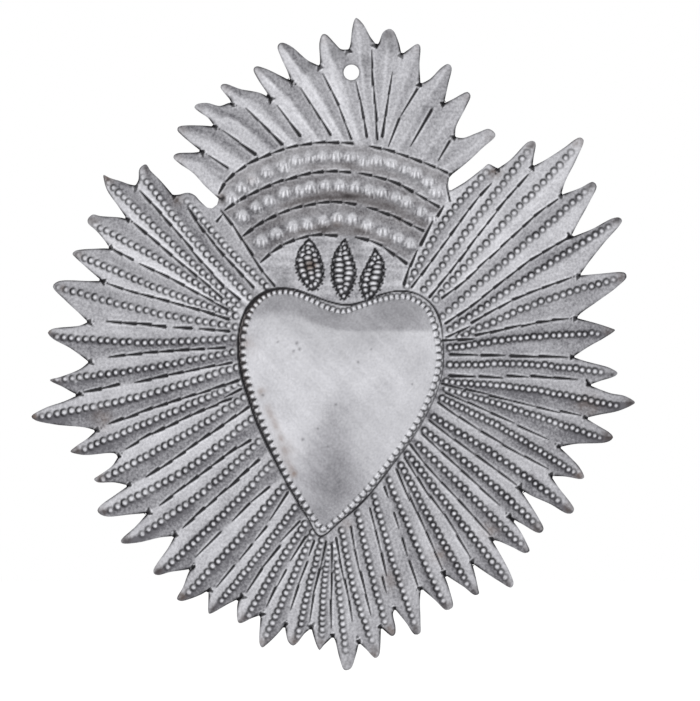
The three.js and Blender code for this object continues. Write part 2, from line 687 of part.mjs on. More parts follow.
heart.updateMatrixWorld(true);

export default heart;
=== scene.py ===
# %% [markdown]
# A folk heart for hanging on a wall, made from one sheet of tin. The maker cuts the outline with shears, cuts
# the lines with a chisel, folds each ray along its middle, punches rows of beads and raises the heart from
# behind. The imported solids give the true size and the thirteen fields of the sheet. Here each field gets its
# full surface: every bead, boss and chisel stroke is real geometry, painted as a rise over one fine grid.

# %% Load the frame
import math

import bpy
import numpy as np
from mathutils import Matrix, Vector


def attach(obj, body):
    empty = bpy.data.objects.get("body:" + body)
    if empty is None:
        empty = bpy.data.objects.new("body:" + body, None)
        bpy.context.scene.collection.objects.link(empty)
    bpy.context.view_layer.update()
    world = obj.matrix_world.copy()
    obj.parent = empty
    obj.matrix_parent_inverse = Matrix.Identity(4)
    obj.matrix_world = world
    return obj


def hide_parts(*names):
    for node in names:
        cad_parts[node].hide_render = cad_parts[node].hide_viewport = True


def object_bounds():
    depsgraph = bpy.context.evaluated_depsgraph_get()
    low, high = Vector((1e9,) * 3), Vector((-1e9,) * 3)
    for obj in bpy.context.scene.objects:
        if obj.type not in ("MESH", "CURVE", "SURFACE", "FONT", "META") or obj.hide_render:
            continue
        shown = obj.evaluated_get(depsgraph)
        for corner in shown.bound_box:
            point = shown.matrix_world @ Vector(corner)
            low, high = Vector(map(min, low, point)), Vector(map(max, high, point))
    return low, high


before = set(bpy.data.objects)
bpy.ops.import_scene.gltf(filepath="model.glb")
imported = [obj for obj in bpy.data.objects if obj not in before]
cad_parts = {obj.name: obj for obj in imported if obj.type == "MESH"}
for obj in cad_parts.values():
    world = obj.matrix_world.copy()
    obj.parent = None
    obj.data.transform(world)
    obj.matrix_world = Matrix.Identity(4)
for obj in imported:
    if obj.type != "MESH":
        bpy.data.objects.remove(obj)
CAD_LOW, CAD_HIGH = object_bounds()
print("CAD box in mm:", [round(1000 * side, 1) for side in CAD_HIGH - CAD_LOW])

# %% [markdown]
# Places are read off a front view of the heart in its columns and rows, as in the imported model. Two corners
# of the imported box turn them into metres, so the sheet lies just where the solids lie. The sheet is sampled
# on a grid of about one column, which is 0.3 mm: fine enough for a chisel stroke of 1 mm. A height for each
# grid point is simpler than sculpting, and beads, strokes and folds can be added one after another.

# %% The grid of the sheet
LEFT_COLUMN, RIGHT_COLUMN = 32.5, 633
TOP_ROW, BOTTOM_ROW = 18, 669.8
HOLE_COLUMN, HOLE_ROW, HOLE_RADIUS = 351.4, 72.5, 7.8
COLUMN_WIDTH = (CAD_HIGH.x - CAD_LOW.x) / (RIGHT_COLUMN - LEFT_COLUMN)
ROW_HEIGHT = (CAD_HIGH.z - CAD_LOW.z) / (BOTTOM_ROW - TOP_ROW)
MM = 0.001
MM_PER_COLUMN = COLUMN_WIDTH / MM
GRID_STEP = 1.04
GRID_MARGIN = 6

COLS, ROWS = np.meshgrid(
    np.arange(LEFT_COLUMN - GRID_MARGIN, RIGHT_COLUMN + GRID_MARGIN, GRID_STEP),
    np.arange(TOP_ROW - GRID_MARGIN, BOTTOM_ROW + GRID_MARGIN, GRID_STEP),
)
# patina and stain carry painted shade as well as real marks, and tone carries painted light and shade too
rise, patina_and_shade, stain_and_shade, tone = (np.zeros(COLS.shape) for _ in range(4))
owner = np.zeros(COLS.shape, int)
print("grid points:", COLS.size, "step in mm:", round(GRID_STEP * MM_PER_COLUMN, 3))

# %% [markdown]
# A few helpers do all the drawing: a smooth curve through hand-set points, the distance from every grid point
# to a path, the points inside a closed path, and a soft random field for the unevenness of hand work. The
# random values come from a fixed seed, so the heart is the same each time.

# %% Drawing helpers
CURVE_STEP = 2.0
NOISE_SIZE, NOISE_SEED = 256, 7


def smooth_step(x):
    x = np.clip(x, 0, 1)
    return x * x * (3 - 2 * x)


def bell(distance, width):
    """One at distance zero, falling off to both sides in a bell curve."""
    return np.exp(-((distance / width) ** 2))


def curve(points, closed=False):
    """A Catmull-Rom curve through points, spaced by the root of their distance so that it never loops."""
    p = np.array(points, float)
    if closed:
        p = np.vstack([p[-2], p, p[1]])
    else:
        p = np.vstack([2 * p[0] - p[1], p, 2 * p[-1] - p[-2]])
    spans = []
    for a, b, c, d in zip(p[:-3], p[1:-2], p[2:-1], p[3:]):
        t1 = math.dist(a, b) ** 0.5
        t2 = t1 + math.dist(b, c) ** 0.5
        t3 = t2 + math.dist(c, d) ** 0.5
        t = np.linspace(t1, t2, max(2, int(math.dist(b, c) / CURVE_STEP)), endpoint=False)[:, None]
        ab = (t1 - t) / t1 * a + t / t1 * b
        bc = (t2 - t) / (t2 - t1) * b + (t - t1) / (t2 - t1) * c
        cd = (t3 - t) / (t3 - t2) * c + (t - t2) / (t3 - t2) * d
        abc = (t2 - t) / t2 * ab + t / t2 * bc
        bcd = (t3 - t) / (t3 - t1) * bc + (t - t1) / (t3 - t1) * cd
        spans.append((t2 - t) / (t2 - t1) * abc + (t - t1) / (t2 - t1) * bcd)
    return np.vstack(spans + [p[-2:-1]])


def lengths_along(path):
    steps = np.hypot(*np.diff(path, axis=0).T)
    return np.concatenate([[0], np.cumsum(steps)])


def points_along(path, distances):
    lengths = lengths_along(path)
    return np.stack([np.interp(distances, lengths, path[:, axis]) for axis in (0, 1)], axis=1)


def from_spot(spot, at=np.s_[:, :]):
    """Distance of each grid point from one place."""
    return np.hypot(COLS[at] - spot[0], ROWS[at] - spot[1])


def from_path(cols, rows, path):
    """Distance of each point from a path, and how far along the path the nearest place lies."""
    best = np.full(cols.shape, np.inf)
    along = np.zeros(cols.shape)
    start = 0.0
    for (c0, r0), (c1, r1) in zip(path[:-1], path[1:]):
        length = math.hypot(c1 - c0, r1 - r0)
        if length == 0:
            continue
        share = np.clip(((cols - c0) * (c1 - c0) + (rows - r0) * (r1 - r0)) / length**2, 0, 1)
        distance = np.hypot(cols - c0 - share * (c1 - c0), rows - r0 - share * (r1 - r0))
        closer = distance < best
        best[closer] = distance[closer]
        along[closer] = start + share[closer] * length
        start += length
    return best, along


def filled(path):
    """Grid points inside a closed path."""
    inside = np.zeros(COLS.shape, bool)
    for (c0, r0), (c1, r1) in zip(path, np.roll(path, -1, axis=0)):
        crossed = np.flatnonzero((ROWS[:, 0] >= min(r0, r1)) & (ROWS[:, 0] < max(r0, r1)))
        for i in crossed:
            column = c0 + (ROWS[i, 0] - r0) * (c1 - c0) / (r1 - r0)
            inside[i, COLS[0] > column] ^= True
    return inside


def around(path, margin):
    """The part of the grid that a path runs through."""
    low, high = np.min(path, axis=0) - margin, np.max(path, axis=0) + margin
    first = ((low - (COLS[0, 0], ROWS[0, 0])) / GRID_STEP).astype(int)
    last = ((high - (COLS[0, 0], ROWS[0, 0])) / GRID_STEP).astype(int) + 2
    return np.s_[max(first[1], 0):last[1], max(first[0], 0):last[0]]


NOISE = np.random.default_rng(NOISE_SEED).random((NOISE_SIZE, NOISE_SIZE))


def wander(u, v):
    """A soft random field from -1 to 1, with one hill or hollow for each unit of u and v."""
    i, j = np.floor(u).astype(int), np.floor(v).astype(int)
    s, t = smooth_step(u - i), smooth_step(v - j)
    corners = [NOISE[(i + a) % NOISE_SIZE, (j + b) % NOISE_SIZE] for a in (0, 1) for b in (0, 1)]
    low = corners[0] * (1 - t) + corners[1] * t
    high = corners[2] * (1 - t) + corners[3] * t
    return 2 * (low * (1 - s) + high * s) - 1


def patches(size, swing, low=0.0, middle=0.8, at=np.s_[:, :]):
    """A share of up to one that varies over the sheet in patches of one size."""
    return np.clip(middle + swing * wander(COLS[at] / size, ROWS[at] / size), low, 1)


waves = wander(COLS / 40, ROWS / 40)
print("soft field spans", waves.min().round(2), "to", waves.max().round(2))

# %% [markdown]
# The heart stands in the middle of the sheet, inside a chased outline. It could be sculpted, but a formula
# keeps its swell smooth. From its own middle every place of the outline can be seen, so one number tells
# where a grid point lies: its share of the way from the middle to the outline. The swell starts from a row of
# beads inside the outline, and its rise is a formula of such a share.

# %% The heart's outline, its row of beads, and the share
HEART_OUTLINE = [
    (320, 536), (307, 517), (288, 485), (273, 456), (258, 425), (249, 400), (241, 373), (238, 345),
    (241, 322), (248, 307), (260, 295), (275, 289), (292, 289), (312, 295.5), (330, 302), (348, 305),
    (366, 300.5), (383, 294), (400, 291), (418, 294.5), (432, 305), (440, 321), (443, 345), (443, 367),
    (438, 388), (428, 411), (412, 438), (392, 465), (366, 498), (340, 521.5), (320, 536),
]
HEART_MIDDLE = np.array((341, 398))
BORDER_BEADS = [
    (323.6, 529), (311, 514), (299.6, 495.7), (290.5, 482.6), (279.7, 461), (270.6, 441), (261.5, 420),
    (254, 399), (249.5, 384.6), (245, 369), (243, 350), (243.6, 338), (247, 322), (252.6, 309.7),
    (263, 298.3), (276.5, 292.8), (293.7, 293.4), (311, 300.2), (330, 308.8), (342.5, 312.2), (358.8, 307),
    (377, 300.8), (401, 296.4), (414.3, 300.2), (425.7, 307.8), (432, 319.3), (437, 338.4), (438.6, 361.4),
    (433.4, 386.2), (418.2, 419.4), (396.6, 451.7), (366, 490), (341, 515.6), (328.6, 526.4), (323.6, 529),
]
heart_line = curve(HEART_OUTLINE, closed=True)
bead_line = curve(BORDER_BEADS, closed=True)


def reach_of(line):
    """How far a line round the heart's middle lies from it, in the direction of each grid point."""
    reach = line - HEART_MIDDLE
    angles = np.arctan2(reach[:, 1], reach[:, 0])
    order = np.argsort(angles)
    ways = np.arctan2(ROWS - HEART_MIDDLE[1], COLS - HEART_MIDDLE[0])
    return np.interp(ways, angles[order], np.hypot(*reach.T)[order], period=2 * math.pi)


heart_reach = reach_of(heart_line)
heart_distance = from_spot(HEART_MIDDLE)
heart_share = heart_distance / heart_reach
heart_gap = heart_distance - heart_reach
print("grid points in the heart:", int((heart_share < 1).sum()))

# %% [markdown]
# Each ray of the wings has a cut tip, a ridge with a count of beads, and a chased line that parts it from the
# next ray. The outline of a tip runs from the notch before it to the notch after it, the ridge runs outwards,
# and the strokes of the line run inwards, with a break wherever the maker lifted the chisel. Copies of one
# ray would look machine-made. No two rays that are cut by hand are alike, so each one has a few points of its
# own.

# %% Rays of the left wing: cut tip, ridge, beads, and strokes of the line after it
LEFT_WING = [
    ([(200, 201), (195, 195.5), (190, 193), (185, 193), (180, 194.5), (173, 195)],
     [(267, 286.5), (227, 247), (187, 201)], 19,
     [[(188, 208), (200, 226), (218, 249), (235, 267), (254, 288)]]),
    ([(160, 180), (150, 170), (147, 165), (144.5, 164.5), (139.5, 169), (138.5, 180), (135.5, 185.5)],
     [(250, 297), (201, 247), (143, 177)], 25,
     [[(140, 191), (167, 220.5), (203, 263), (224, 286)], [(227, 289), (240, 300)]]),
    ([(130, 184.5), (120, 181), (110, 178), (103.5, 175), (104, 180), (107, 190), (118, 206), (127, 219)],
     [(239, 305), (174, 245), (109, 183)], 27,
     [[(134.5, 223), (166, 250), (209, 287), (222, 299)]]),
    ([(120, 217.5), (100, 216), (93, 214.5), (88, 219), (88, 223), (97, 231.5), (105, 241), (110, 248.5)],
     [(235, 309), (166, 263), (95, 225)], 25,
     [[(111, 248), (133, 260)], [(140, 264), (172, 279), (205, 297.5), (228, 310)]]),
    ([(100, 248.5), (75, 251), (72.5, 254), (75, 257), (87, 268), (102, 281)],
     [(236, 316), (158, 288), (79, 255.5)], 26,
     [[(108, 283.5), (129, 291), (160, 299), (200, 310), (230, 319.5)]]),
    ([(90, 281), (58, 281.5), (53, 286.5), (65, 300), (80, 314), (88, 322)],
     [(236, 327), (150, 311.5), (59, 287.5)], 25,
     [[(106, 321), (135, 323.5), (167, 326.5)], [(174, 327), (192, 328)], [(200, 329), (230, 331.5)]]),
    ([(80, 325.5), (52, 329), (48, 332.5), (52, 338), (70, 348), (80, 355), (89, 362)],
     [(233, 338.5), (145, 342.5), (57, 337)], 25,
     [[(110, 357), (135, 354), (185, 350), (205, 348.5)], [(208, 348.5), (226, 347.5)]]),
    ([(80, 369), (60, 377), (50, 380), (63, 387), (76, 394), (79, 394.5)],
     [(233, 352), (149, 368), (57.5, 380)], 25,
     [[(83, 392), (110, 387), (120, 384)], [(135, 382), (185, 372), (232, 362)]]),
    ([(65, 401), (45, 408), (31.5, 416.5), (35, 420), (55, 424.5), (85, 427.5), (96, 430.5)],
     [(237, 367), (147, 395), (42.5, 417)], 28,
     [[(110, 424), (150, 409), (180, 399.5), (239, 380)]]),
    ([(88, 438), (75, 447), (70.5, 451.5), (80, 454.5), (88, 455), (115, 453.5), (118, 457)],
     [(241, 383), (164, 416), (85, 449)], 25,
     [[(126, 449), (150, 435), (200, 411), (232, 399)]]),
    ([(112, 466), (98, 476), (94, 479), (97, 482), (115, 482.5), (128.5, 485.5)],
     [(244, 398), (180, 438), (103, 479)], 24,
     [[(146, 477), (185, 451.5), (230, 420), (249, 406)]]),
    ([(115, 495), (100, 506), (97.5, 510.5), (100, 514), (107, 516.5), (130, 514.5), (147.5, 513)],
     [(252, 419), (189, 468), (111.5, 510)], 23,
     [[(160, 505), (200, 475), (240, 446), (251, 439.5)]]),
    ([(136, 526), (121, 540.5), (122, 543), (138, 542.5), (160, 537.5), (174.5, 536)],
     [(259, 442), (203.5, 492), (143, 534)], 21,
     [[(183, 527), (225, 490), (260, 459.5)]]),
    ([(168, 548), (158, 562), (153.5, 570), (154, 573.5), (158, 575), (170, 572), (190, 569), (193, 568)],
     [(272, 464), (226, 512), (168, 567)], 22,
     [[(196, 556), (212, 538), (221, 531)], [(233, 521), (258, 495.5), (270, 487)]]),
    ([(190, 570), (183, 587), (177, 599), (181, 601), (188, 599.5), (202, 594), (208.5, 590)],
     [(283.5, 487), (234, 544), (189, 592.5)], 21,
     [[(217, 587), (235, 565)], [(240, 560), (253, 544)], [(255, 540), (267, 525.5)],
      [(270, 520), (288, 492.5)]]),
    ([(208.5, 596), (209, 613.5), (212, 613), (228, 604), (241, 597.5)],
     [(295, 508), (261, 553), (222, 600)], 21,
     [[(247, 592), (257, 575), (281, 545.5)], [(281, 541), (300, 521)]]),
    ([(238.5, 600), (237, 616), (238.5, 622.5), (241, 623), (252, 618), (260.5, 615)],
     [(305, 524), (279, 564), (249, 615)], 17,
     [[(267, 606), (276, 587), (286, 569)], [(291, 559.5), (306, 536)]]),
    ([(260.3, 620), (259.5, 643), (262, 647.5), (266, 645), (278, 633.5), (285, 625)],
     [(313, 532), (294, 576), (267, 635)], 18,
     [[(291, 609), (296, 592), (308, 561.5)], [(308.5, 556), (314, 541)]]),
    ([(285.5, 630), (288.5, 642), (293, 645.5), (297, 643), (305, 633), (311.5, 628)],
     [(322, 540), (310, 584), (298, 636)], 17,
     [[(309.5, 621), (311.5, 602), (320, 570), (326, 541)]]),
    ([(313, 634), (317, 646), (319.5, 650), (323, 646), (328, 641), (333, 636.5)],
     [(329, 547), (324, 589), (322, 634)], 17,
     [[(331.5, 627), (331, 600), (332, 545)]]),
]
print("rays and beads of the left wing:", len(LEFT_WING), sum(beads for _, _, beads, _ in LEFT_WING))

# %% Rays of the right wing, from the crown down
RIGHT_WING = [
    ([(465, 182), (482, 169), (488.5, 164), (493, 166), (498, 168.5)],
     [(407, 286), (446, 219.5), (486, 173)], 19,
     [[(491, 184), (477, 199), (456, 228), (436, 254.5), (425, 270), (411, 288.5)]]),
    ([(510, 160), (528, 142), (533, 141), (535.5, 143), (533.5, 158), (532.5, 166.5)],
     [(424, 290), (470, 227), (527, 153)], 23,
     [[(528, 175), (502, 204.5), (481, 231), (459, 260), (448, 275), (428.5, 298)]]),
    ([(545, 160), (565, 147), (575, 139.5), (580, 137.5), (583.5, 140), (576, 160), (565, 182), (561, 195)],
     [(436, 299), (497, 231), (571, 152.5)], 25,
     [[(559, 198), (538, 213), (506, 242.5), (461, 283.5), (441.5, 298)]]),
    ([(580, 188), (593, 182), (596.5, 186), (590, 201), (578, 223), (570.5, 237.5)],
     [(443, 316), (516, 252), (585, 192)], 24,
     [[(569, 237), (529, 260.5), (475, 303.5), (445, 324)]]),
    ([(592, 229), (612, 218.5), (619, 217.5), (622, 220.5), (604, 243), (589, 262), (579.5, 275.5)],
     [(450, 330), (533, 274), (608, 227)], 26,
     [[(571, 277.5), (513, 299.5), (471, 323)], [(470, 326), (445, 338.5)]]),
    ([(602, 273.5), (620, 272), (625, 273), (626.5, 277), (617, 287), (598, 301), (580, 314), (576.5, 318)],
     [(459, 337), (540, 302), (613, 280)], 23,
     [[(568, 319), (540, 321.5), (475, 336)], [(474, 338.5), (442, 340.5)]]),
    ([(597, 323.5), (612, 328.5), (615, 330), (604, 338), (588, 347), (573, 357)],
     [(450, 348), (523, 338), (598, 333)], 24,
     [[(567, 357), (510, 355)], [(503, 355), (480, 355)], [(477, 355.5), (449, 355)]]),
    ([(585, 361), (610, 368), (617.5, 373), (615, 376), (600, 381), (589, 385)],
     [(450, 365), (523, 364), (601, 372)], 25,
     [[(578, 380), (531, 376)], [(528, 377), (507, 375.5)], [(502, 377.5), (479, 376)],
      [(475, 377), (449, 376)]]),
    ([(610, 393), (625, 396), (635, 402.5), (632, 405), (618, 411), (598, 415), (585.5, 418)],
     [(446, 381.5), (531, 389.5), (616, 406)], 28,
     [[(580, 415.5), (560, 411)], [(560, 412.5), (505, 399), (472, 391.5), (442, 384)]]),
    ([(597, 425), (610, 433), (613, 437), (611, 440), (605, 442.5), (575, 444), (559.5, 447)],
     [(447, 389), (514, 409), (600, 438)], 28,
     [[(548, 439), (518, 425.5)], [(514, 423.5), (495, 415), (445, 392.5)]]),
    ([(569, 456), (580, 468), (584, 477.5), (581, 479), (565, 476.5), (551, 476)],
     [(442, 398), (505, 430), (573, 472)], 28,
     [[(548, 469), (502, 444), (470, 425), (438, 402)]]),
    ([(559, 488), (570, 502), (574, 509), (572, 513), (567, 513.5), (550, 504), (532, 496), (520, 489)],
     [(434, 417), (495, 455), (558, 500)], 22,
     [[(519, 487), (455, 439.5)], [(454, 440.5), (428, 420)]]),
    ([(528, 501), (538, 517), (543.5, 529), (541, 532.5), (537, 532.5), (522, 524), (510, 517.5)],
     [(424.5, 430), (481, 474.5), (538, 526)], 22,
     [[(500, 505), (446, 457), (422, 434)]]),
    ([(519, 529), (527, 544), (529.5, 551), (525, 553), (512, 547), (498, 541), (492, 540)],
     [(419, 445), (471, 496), (520, 544)], 21,
     [[(491, 536), (465, 507), (429, 469), (410, 444)]]),
    ([(503, 559), (511, 575), (513.5, 584), (511, 587.5), (498, 580.5), (482, 570), (472, 563)],
     [(408, 454), (456, 516), (505, 577)], 24,
     [[(470, 556), (446, 517), (429, 494)], [(430, 498), (405, 457)]]),
    ([(475, 574), (478.5, 590), (479, 593.5), (475, 595), (464, 587), (444, 574)],
     [(401, 465.5), (435.5, 529), (467, 583)], 21,
     [[(443, 571), (425, 530), (408, 493)], [(410, 501), (397, 469)]]),
    ([(449, 588), (453, 606), (451, 608.5), (446, 610), (435, 600), (421, 588)],
     [(389.5, 480), (418.5, 548), (443, 601)], 20,
     [[(419, 589), (409, 560)], [(407, 555), (402, 537)], [(399, 528), (394, 512)],
      [(388, 497), (384, 486)]]),
    ([(420, 600), (420.5, 622), (420, 633), (415, 634.5), (406, 622.5), (395, 609)],
     [(375, 496.5), (391.5, 556), (414, 622)], 21,
     [[(386, 592), (382, 576)], [(386, 575), (379, 543), (370, 508)]]),
    ([(393, 613), (395.5, 627), (395, 634), (392, 636), (384, 630), (381, 627.5)],
     [(358, 513), (371, 569), (385, 621)], 17,
     [[(371, 616), (361, 578), (352, 535), (351, 526)]]),
    ([(380, 650), (379, 655), (375.5, 658), (366, 649), (359, 642.5)],
     [(342, 530), (353.5, 586), (371.5, 640)], 18,
     [[(352, 621), (348, 595), (341, 565), (336, 538)]]),
]
TAIL_RAY = (
    [(335, 640), (339.5, 658), (344, 669.5), (347, 670), (351, 668), (355, 658), (359, 642.5)],
    [(334.5, 545.5), (340, 598), (345.5, 650)], 17, RIGHT_WING[-1][3],
)
print("rays and beads of the right wing:", len(RIGHT_WING), sum(beads for _, _, beads, _ in RIGHT_WING))

# %% [markdown]
# The crown is a fan of plain rays without beads, over four chased arcs. On both sides a chased line parts it
# from the wings, and at the end of that line the sheet is cut in to a corner. It has the same kind of table
# as the wings, so that the same code can fold it.

# %% Rays of the crown, from the left, with its arcs and sides
CROWN = [
    ([(205, 186), (193, 173), (180, 164), (173.5, 158), (174, 155.5), (177, 153.5), (195, 152.5),
      (201.5, 151.5)],
     [(223, 176), (205, 165), (183, 156.5)], 0, [[(209, 156), (228, 168.5)]]),
    ([(195, 146.5), (182, 135.5), (177.5, 130.5), (178, 127.5), (181, 126), (200, 125.5), (214.5, 126.5)],
     [(243, 160), (212, 139), (184, 129)], 0, [[(223, 131), (240, 143), (256, 154.5)]]),
    ([(208, 118), (200, 112.5), (194.5, 107.5), (196.5, 104.5), (207, 103), (220, 106), (229.5, 103),
      (231.5, 104.5)],
     [(270, 148), (232, 120), (202, 106)], 0, [[(246, 108), (262, 124), (282.5, 145)]]),
    ([(230, 100), (223, 91.5), (220.5, 87.5), (222, 84.5), (226, 84), (240, 89), (260, 93), (270, 98)],
     [(292, 141), (255, 111), (227, 87.5)], 0, [[(277, 106), (300.5, 136.5)]]),
    ([(266, 91.5), (258, 79.5), (253.5, 69.5), (256, 66.5), (265, 68.5), (280, 75.5), (290.5, 81)],
     [(316, 137), (283, 98), (260, 71)], 0, [[(301, 88), (315, 110), (330.5, 135.5)]]),
    ([(288, 73), (281, 57.5), (277.5, 47), (279.5, 43.5), (283, 42.8), (292, 47), (308, 60.5), (319.5, 66)],
     [(341, 136), (308, 85), (283, 48.5)], 0, [[(323, 74), (338, 104), (351.5, 139)]]),
    ([(320, 62), (319.5, 42), (322.5, 34.5), (326, 34.5), (335, 43.5), (341, 49.3), (348.5, 49.5)],
     [(359, 137), (337, 88), (324, 38)], 0, [[(355.5, 81), (361, 104), (366.5, 138)]]),
    ([(350, 46), (352, 30), (354, 21), (356, 18), (363, 24), (371, 38), (377, 45.5)],
     [(371.5, 138), (363, 85), (356.5, 22)], 0, [[(371.5, 50), (373, 80), (377.5, 140)]]),
    ([(379, 42.5), (383, 32.5), (389, 29), (393, 30.5), (398.5, 42), (401.5, 54.5)],
     [(380.5, 132), (383, 95), (389, 32)], 0, [[(392, 73), (388, 98), (382, 138)]]),
    ([(408, 50), (417.5, 44), (420, 46), (419.5, 65), (420.5, 84)],
     [(386, 136), (398, 102), (416.5, 49)], 0, [[(420, 85), (401, 116)], [(399, 118), (388, 146)]]),
    ([(430, 79), (441, 68), (448, 64), (451.5, 67), (448, 85), (444, 103.5)],
     [(399, 147), (420, 110), (447, 68)], 0, [[(432, 109), (411, 145)]]),
    ([(455, 98), (462, 94), (467.5, 92), (470.5, 95.5), (465, 109), (456, 127), (455, 137)],
     [(424, 156), (442, 130), (466.5, 95.5)], 0, [[(450, 140.5), (438.5, 160)]]),
    ([(463, 138), (478, 132.5), (489, 129), (495.5, 135), (482, 148.5), (467, 162.5), (452, 174.5)],
     [(446, 166.5), (465, 154), (489, 134)], 0, [[(446, 178), (440, 182)]]),
]
CROWN_ARCS = [
    [(217.5, 196.5), (223, 185), (238, 170.5), (260, 158.5), (288, 148), (318, 142.8), (346, 142.8),
     (375, 147), (405, 155.5), (430, 165), (451, 175)],
    [(222.5, 212), (240, 200), (265, 187.5), (297, 176.5), (325, 171.5), (350, 172), (372, 175.5),
     (398, 183.5), (420, 196), (442.5, 209)],
    [(241, 237.5), (258, 225), (280, 213.5), (303, 206), (325, 202.3), (345, 202.6), (366, 207), (393, 215.5),
     (410, 224.5), (426.5, 232.5)],
    [(258, 264), (279, 247), (305, 237), (320, 234.7), (340, 235.5), (356, 237), (370, 240.5), (387, 248.5),
     (400, 259), (410, 266)],
]
LEFT_SIDE = [[(221, 210), (232, 224), (247, 248), (264, 273), (275, 286)]]
RIGHT_SIDE = [[(443.5, 207), (437, 218)], [(432, 222), (420, 246)], [(416.5, 251), (407, 273), (404, 285)]]
LEFT_JUNCTION = [(219, 199), (217, 205), (212, 208.5), (207, 207.5)]
RIGHT_JUNCTION = [(449, 191.5), (448, 184), (449, 178), (452, 174.5)]
CROWN_START = [[(226, 196), (232, 193)]]
print("rays of the crown:", len(CROWN))

# %% [markdown]
# A ray is a folded roof: it rises from the chased line on each side to the ridge, and falls to nothing at its
# cut tip. Its height at a point is the half width of the ray there, times the pitch, times how far up the
# flank the point lies. The two flanks get painted light and shade: one is painted pale, and the other is
# painted darker, most of all along the ridge. Brush streaks run along the ray, so the tone varies across it
# and hardly along it. A mesh could be folded along drawn edges, but it would need clean edges for all 54
# rays. On the grid one formula does them all.

# %% Painted light and shade of each flank: the side before the ridge and the side after it
LEFT_FLANKS = [
    (-0.05, 0.08), (-0.22, 0.25), (-0.2, 0.26), (-0.12, 0.26), (-0.1, 0.12), (0.0, -0.02), (0.03, -0.31),
    (0.03, -0.38), (0.12, -0.4), (0.1, -0.36), (0.17, -0.33), (0.17, -0.32), (0.1, -0.34), (0.1, -0.34),
    (0.1, -0.34), (0.12, -0.32), (0.12, -0.25), (0.11, -0.22), (0.07, -0.16), (0.03, -0.06),
]
TAIL_FLANKS = [(0.02, -0.02)]
RIGHT_FLANKS = [
    (0.14, -0.1), (0.14, 0.12), (0.12, 0.2), (-0.08, 0.12), (-0.17, 0.06), (0.0, -0.13), (-0.24, -0.26),
    (-0.05, -0.22), (-0.01, -0.43), (-0.06, -0.33), (-0.04, -0.32), (0.02, -0.31), (0.06, -0.3),
    (0.08, -0.31), (0.08, -0.31), (0.06, -0.29), (0.04, -0.25), (-0.03, -0.18), (-0.08, -0.15),
    (-0.04, -0.08),
]
CROWN_FLANKS = [
    (0.15, -0.17), (0.13, -0.21), (0.12, -0.22), (0.14, -0.2), (0.18, -0.16), (0.2, -0.2), (0.18, -0.05),
    (0.0, -0.04), (0.0, 0.0), (0.03, -0.07), (0.03, -0.1), (-0.01, -0.03), (0.01, -0.05),
]
print("flanks:", 2 * (len(LEFT_FLANKS) + len(TAIL_FLANKS) + len(RIGHT_FLANKS) + len(CROWN_FLANKS)))

# %% How a ray is folded
PIECES = [
    "left_wing", "right_wing", "tail_ray", "crown_rays", "crown_band_upper", "crown_band_middle",
    "crown_band_lower", "flame_field", "flame_left", "flame_centre", "flame_right", "heart_bead_border",
    "heart_dome",
]
NUMBER = {name: number for number, name in enumerate(PIECES, start=1)}
RIDGE_PITCH = 0.2
ROOT_REACH = 26
SHADE_REACH = 7
FAR_SHADE = 0.45
ROOT_SHADE, TIP_SHADE = 0.75, 0.45
BROAD_STREAKS = {"strength": 0.07, "width": 5, "length": 45, "ray_shift": 17, "start": 0}
FINE_STREAKS = {"strength": 0.06, "width": 2.2, "length": 25, "ray_shift": 31, "start": 9}
CREST_SHINE = 0.26
CREST_WIDTH = 1.1
NEAR_ZERO = 1e-6


def joined(notch, strokes):
    """A chased line as one path, from its notch inwards and on under the field where it ends."""
    path = [notch] + [point for run in strokes for point in run]
    end, before_end = np.array(path[-1]), np.array(path[-2])
    onward = (end - before_end) / math.dist(end, before_end)
    return np.vstack([path, end + onward * ROOT_REACH])


def fan(rows, start, first_line):
    """Each ray with its edge, ridge, beads and the lines on both sides."""
    rays = []
    notch, before = start, first_line
    for outline, ridge, beads, strokes in rows:
        after = joined(outline[-1], strokes)
        edge = curve([notch, *outline])
        tip = int(np.argmax(np.hypot(*(edge - ridge[0]).T)))
        rays.append({
            "edge": edge, "tip": tip, "ridge": curve(ridge), "beads": beads, "before": before, "after": after,
        })
        notch, before = outline[-1], after
    return rays


def flank_shading(flank, to_crest, outward):
    """Painted light and shade of a flank: even where pale, deepest at the ridge and the tip where dark."""
    if flank > 0:
        return flank
    return flank * (FAR_SHADE + np.exp(-to_crest / SHADE_REACH)) * (ROOT_SHADE + TIP_SHADE * outward)


def streaks(across, along, tip, strength, width, length, ray_shift, start):
    """Brush streaks along a ray, which differ from ray to ray."""
    return strength * wander(across / width + ray_shift * tip, along / length + start)


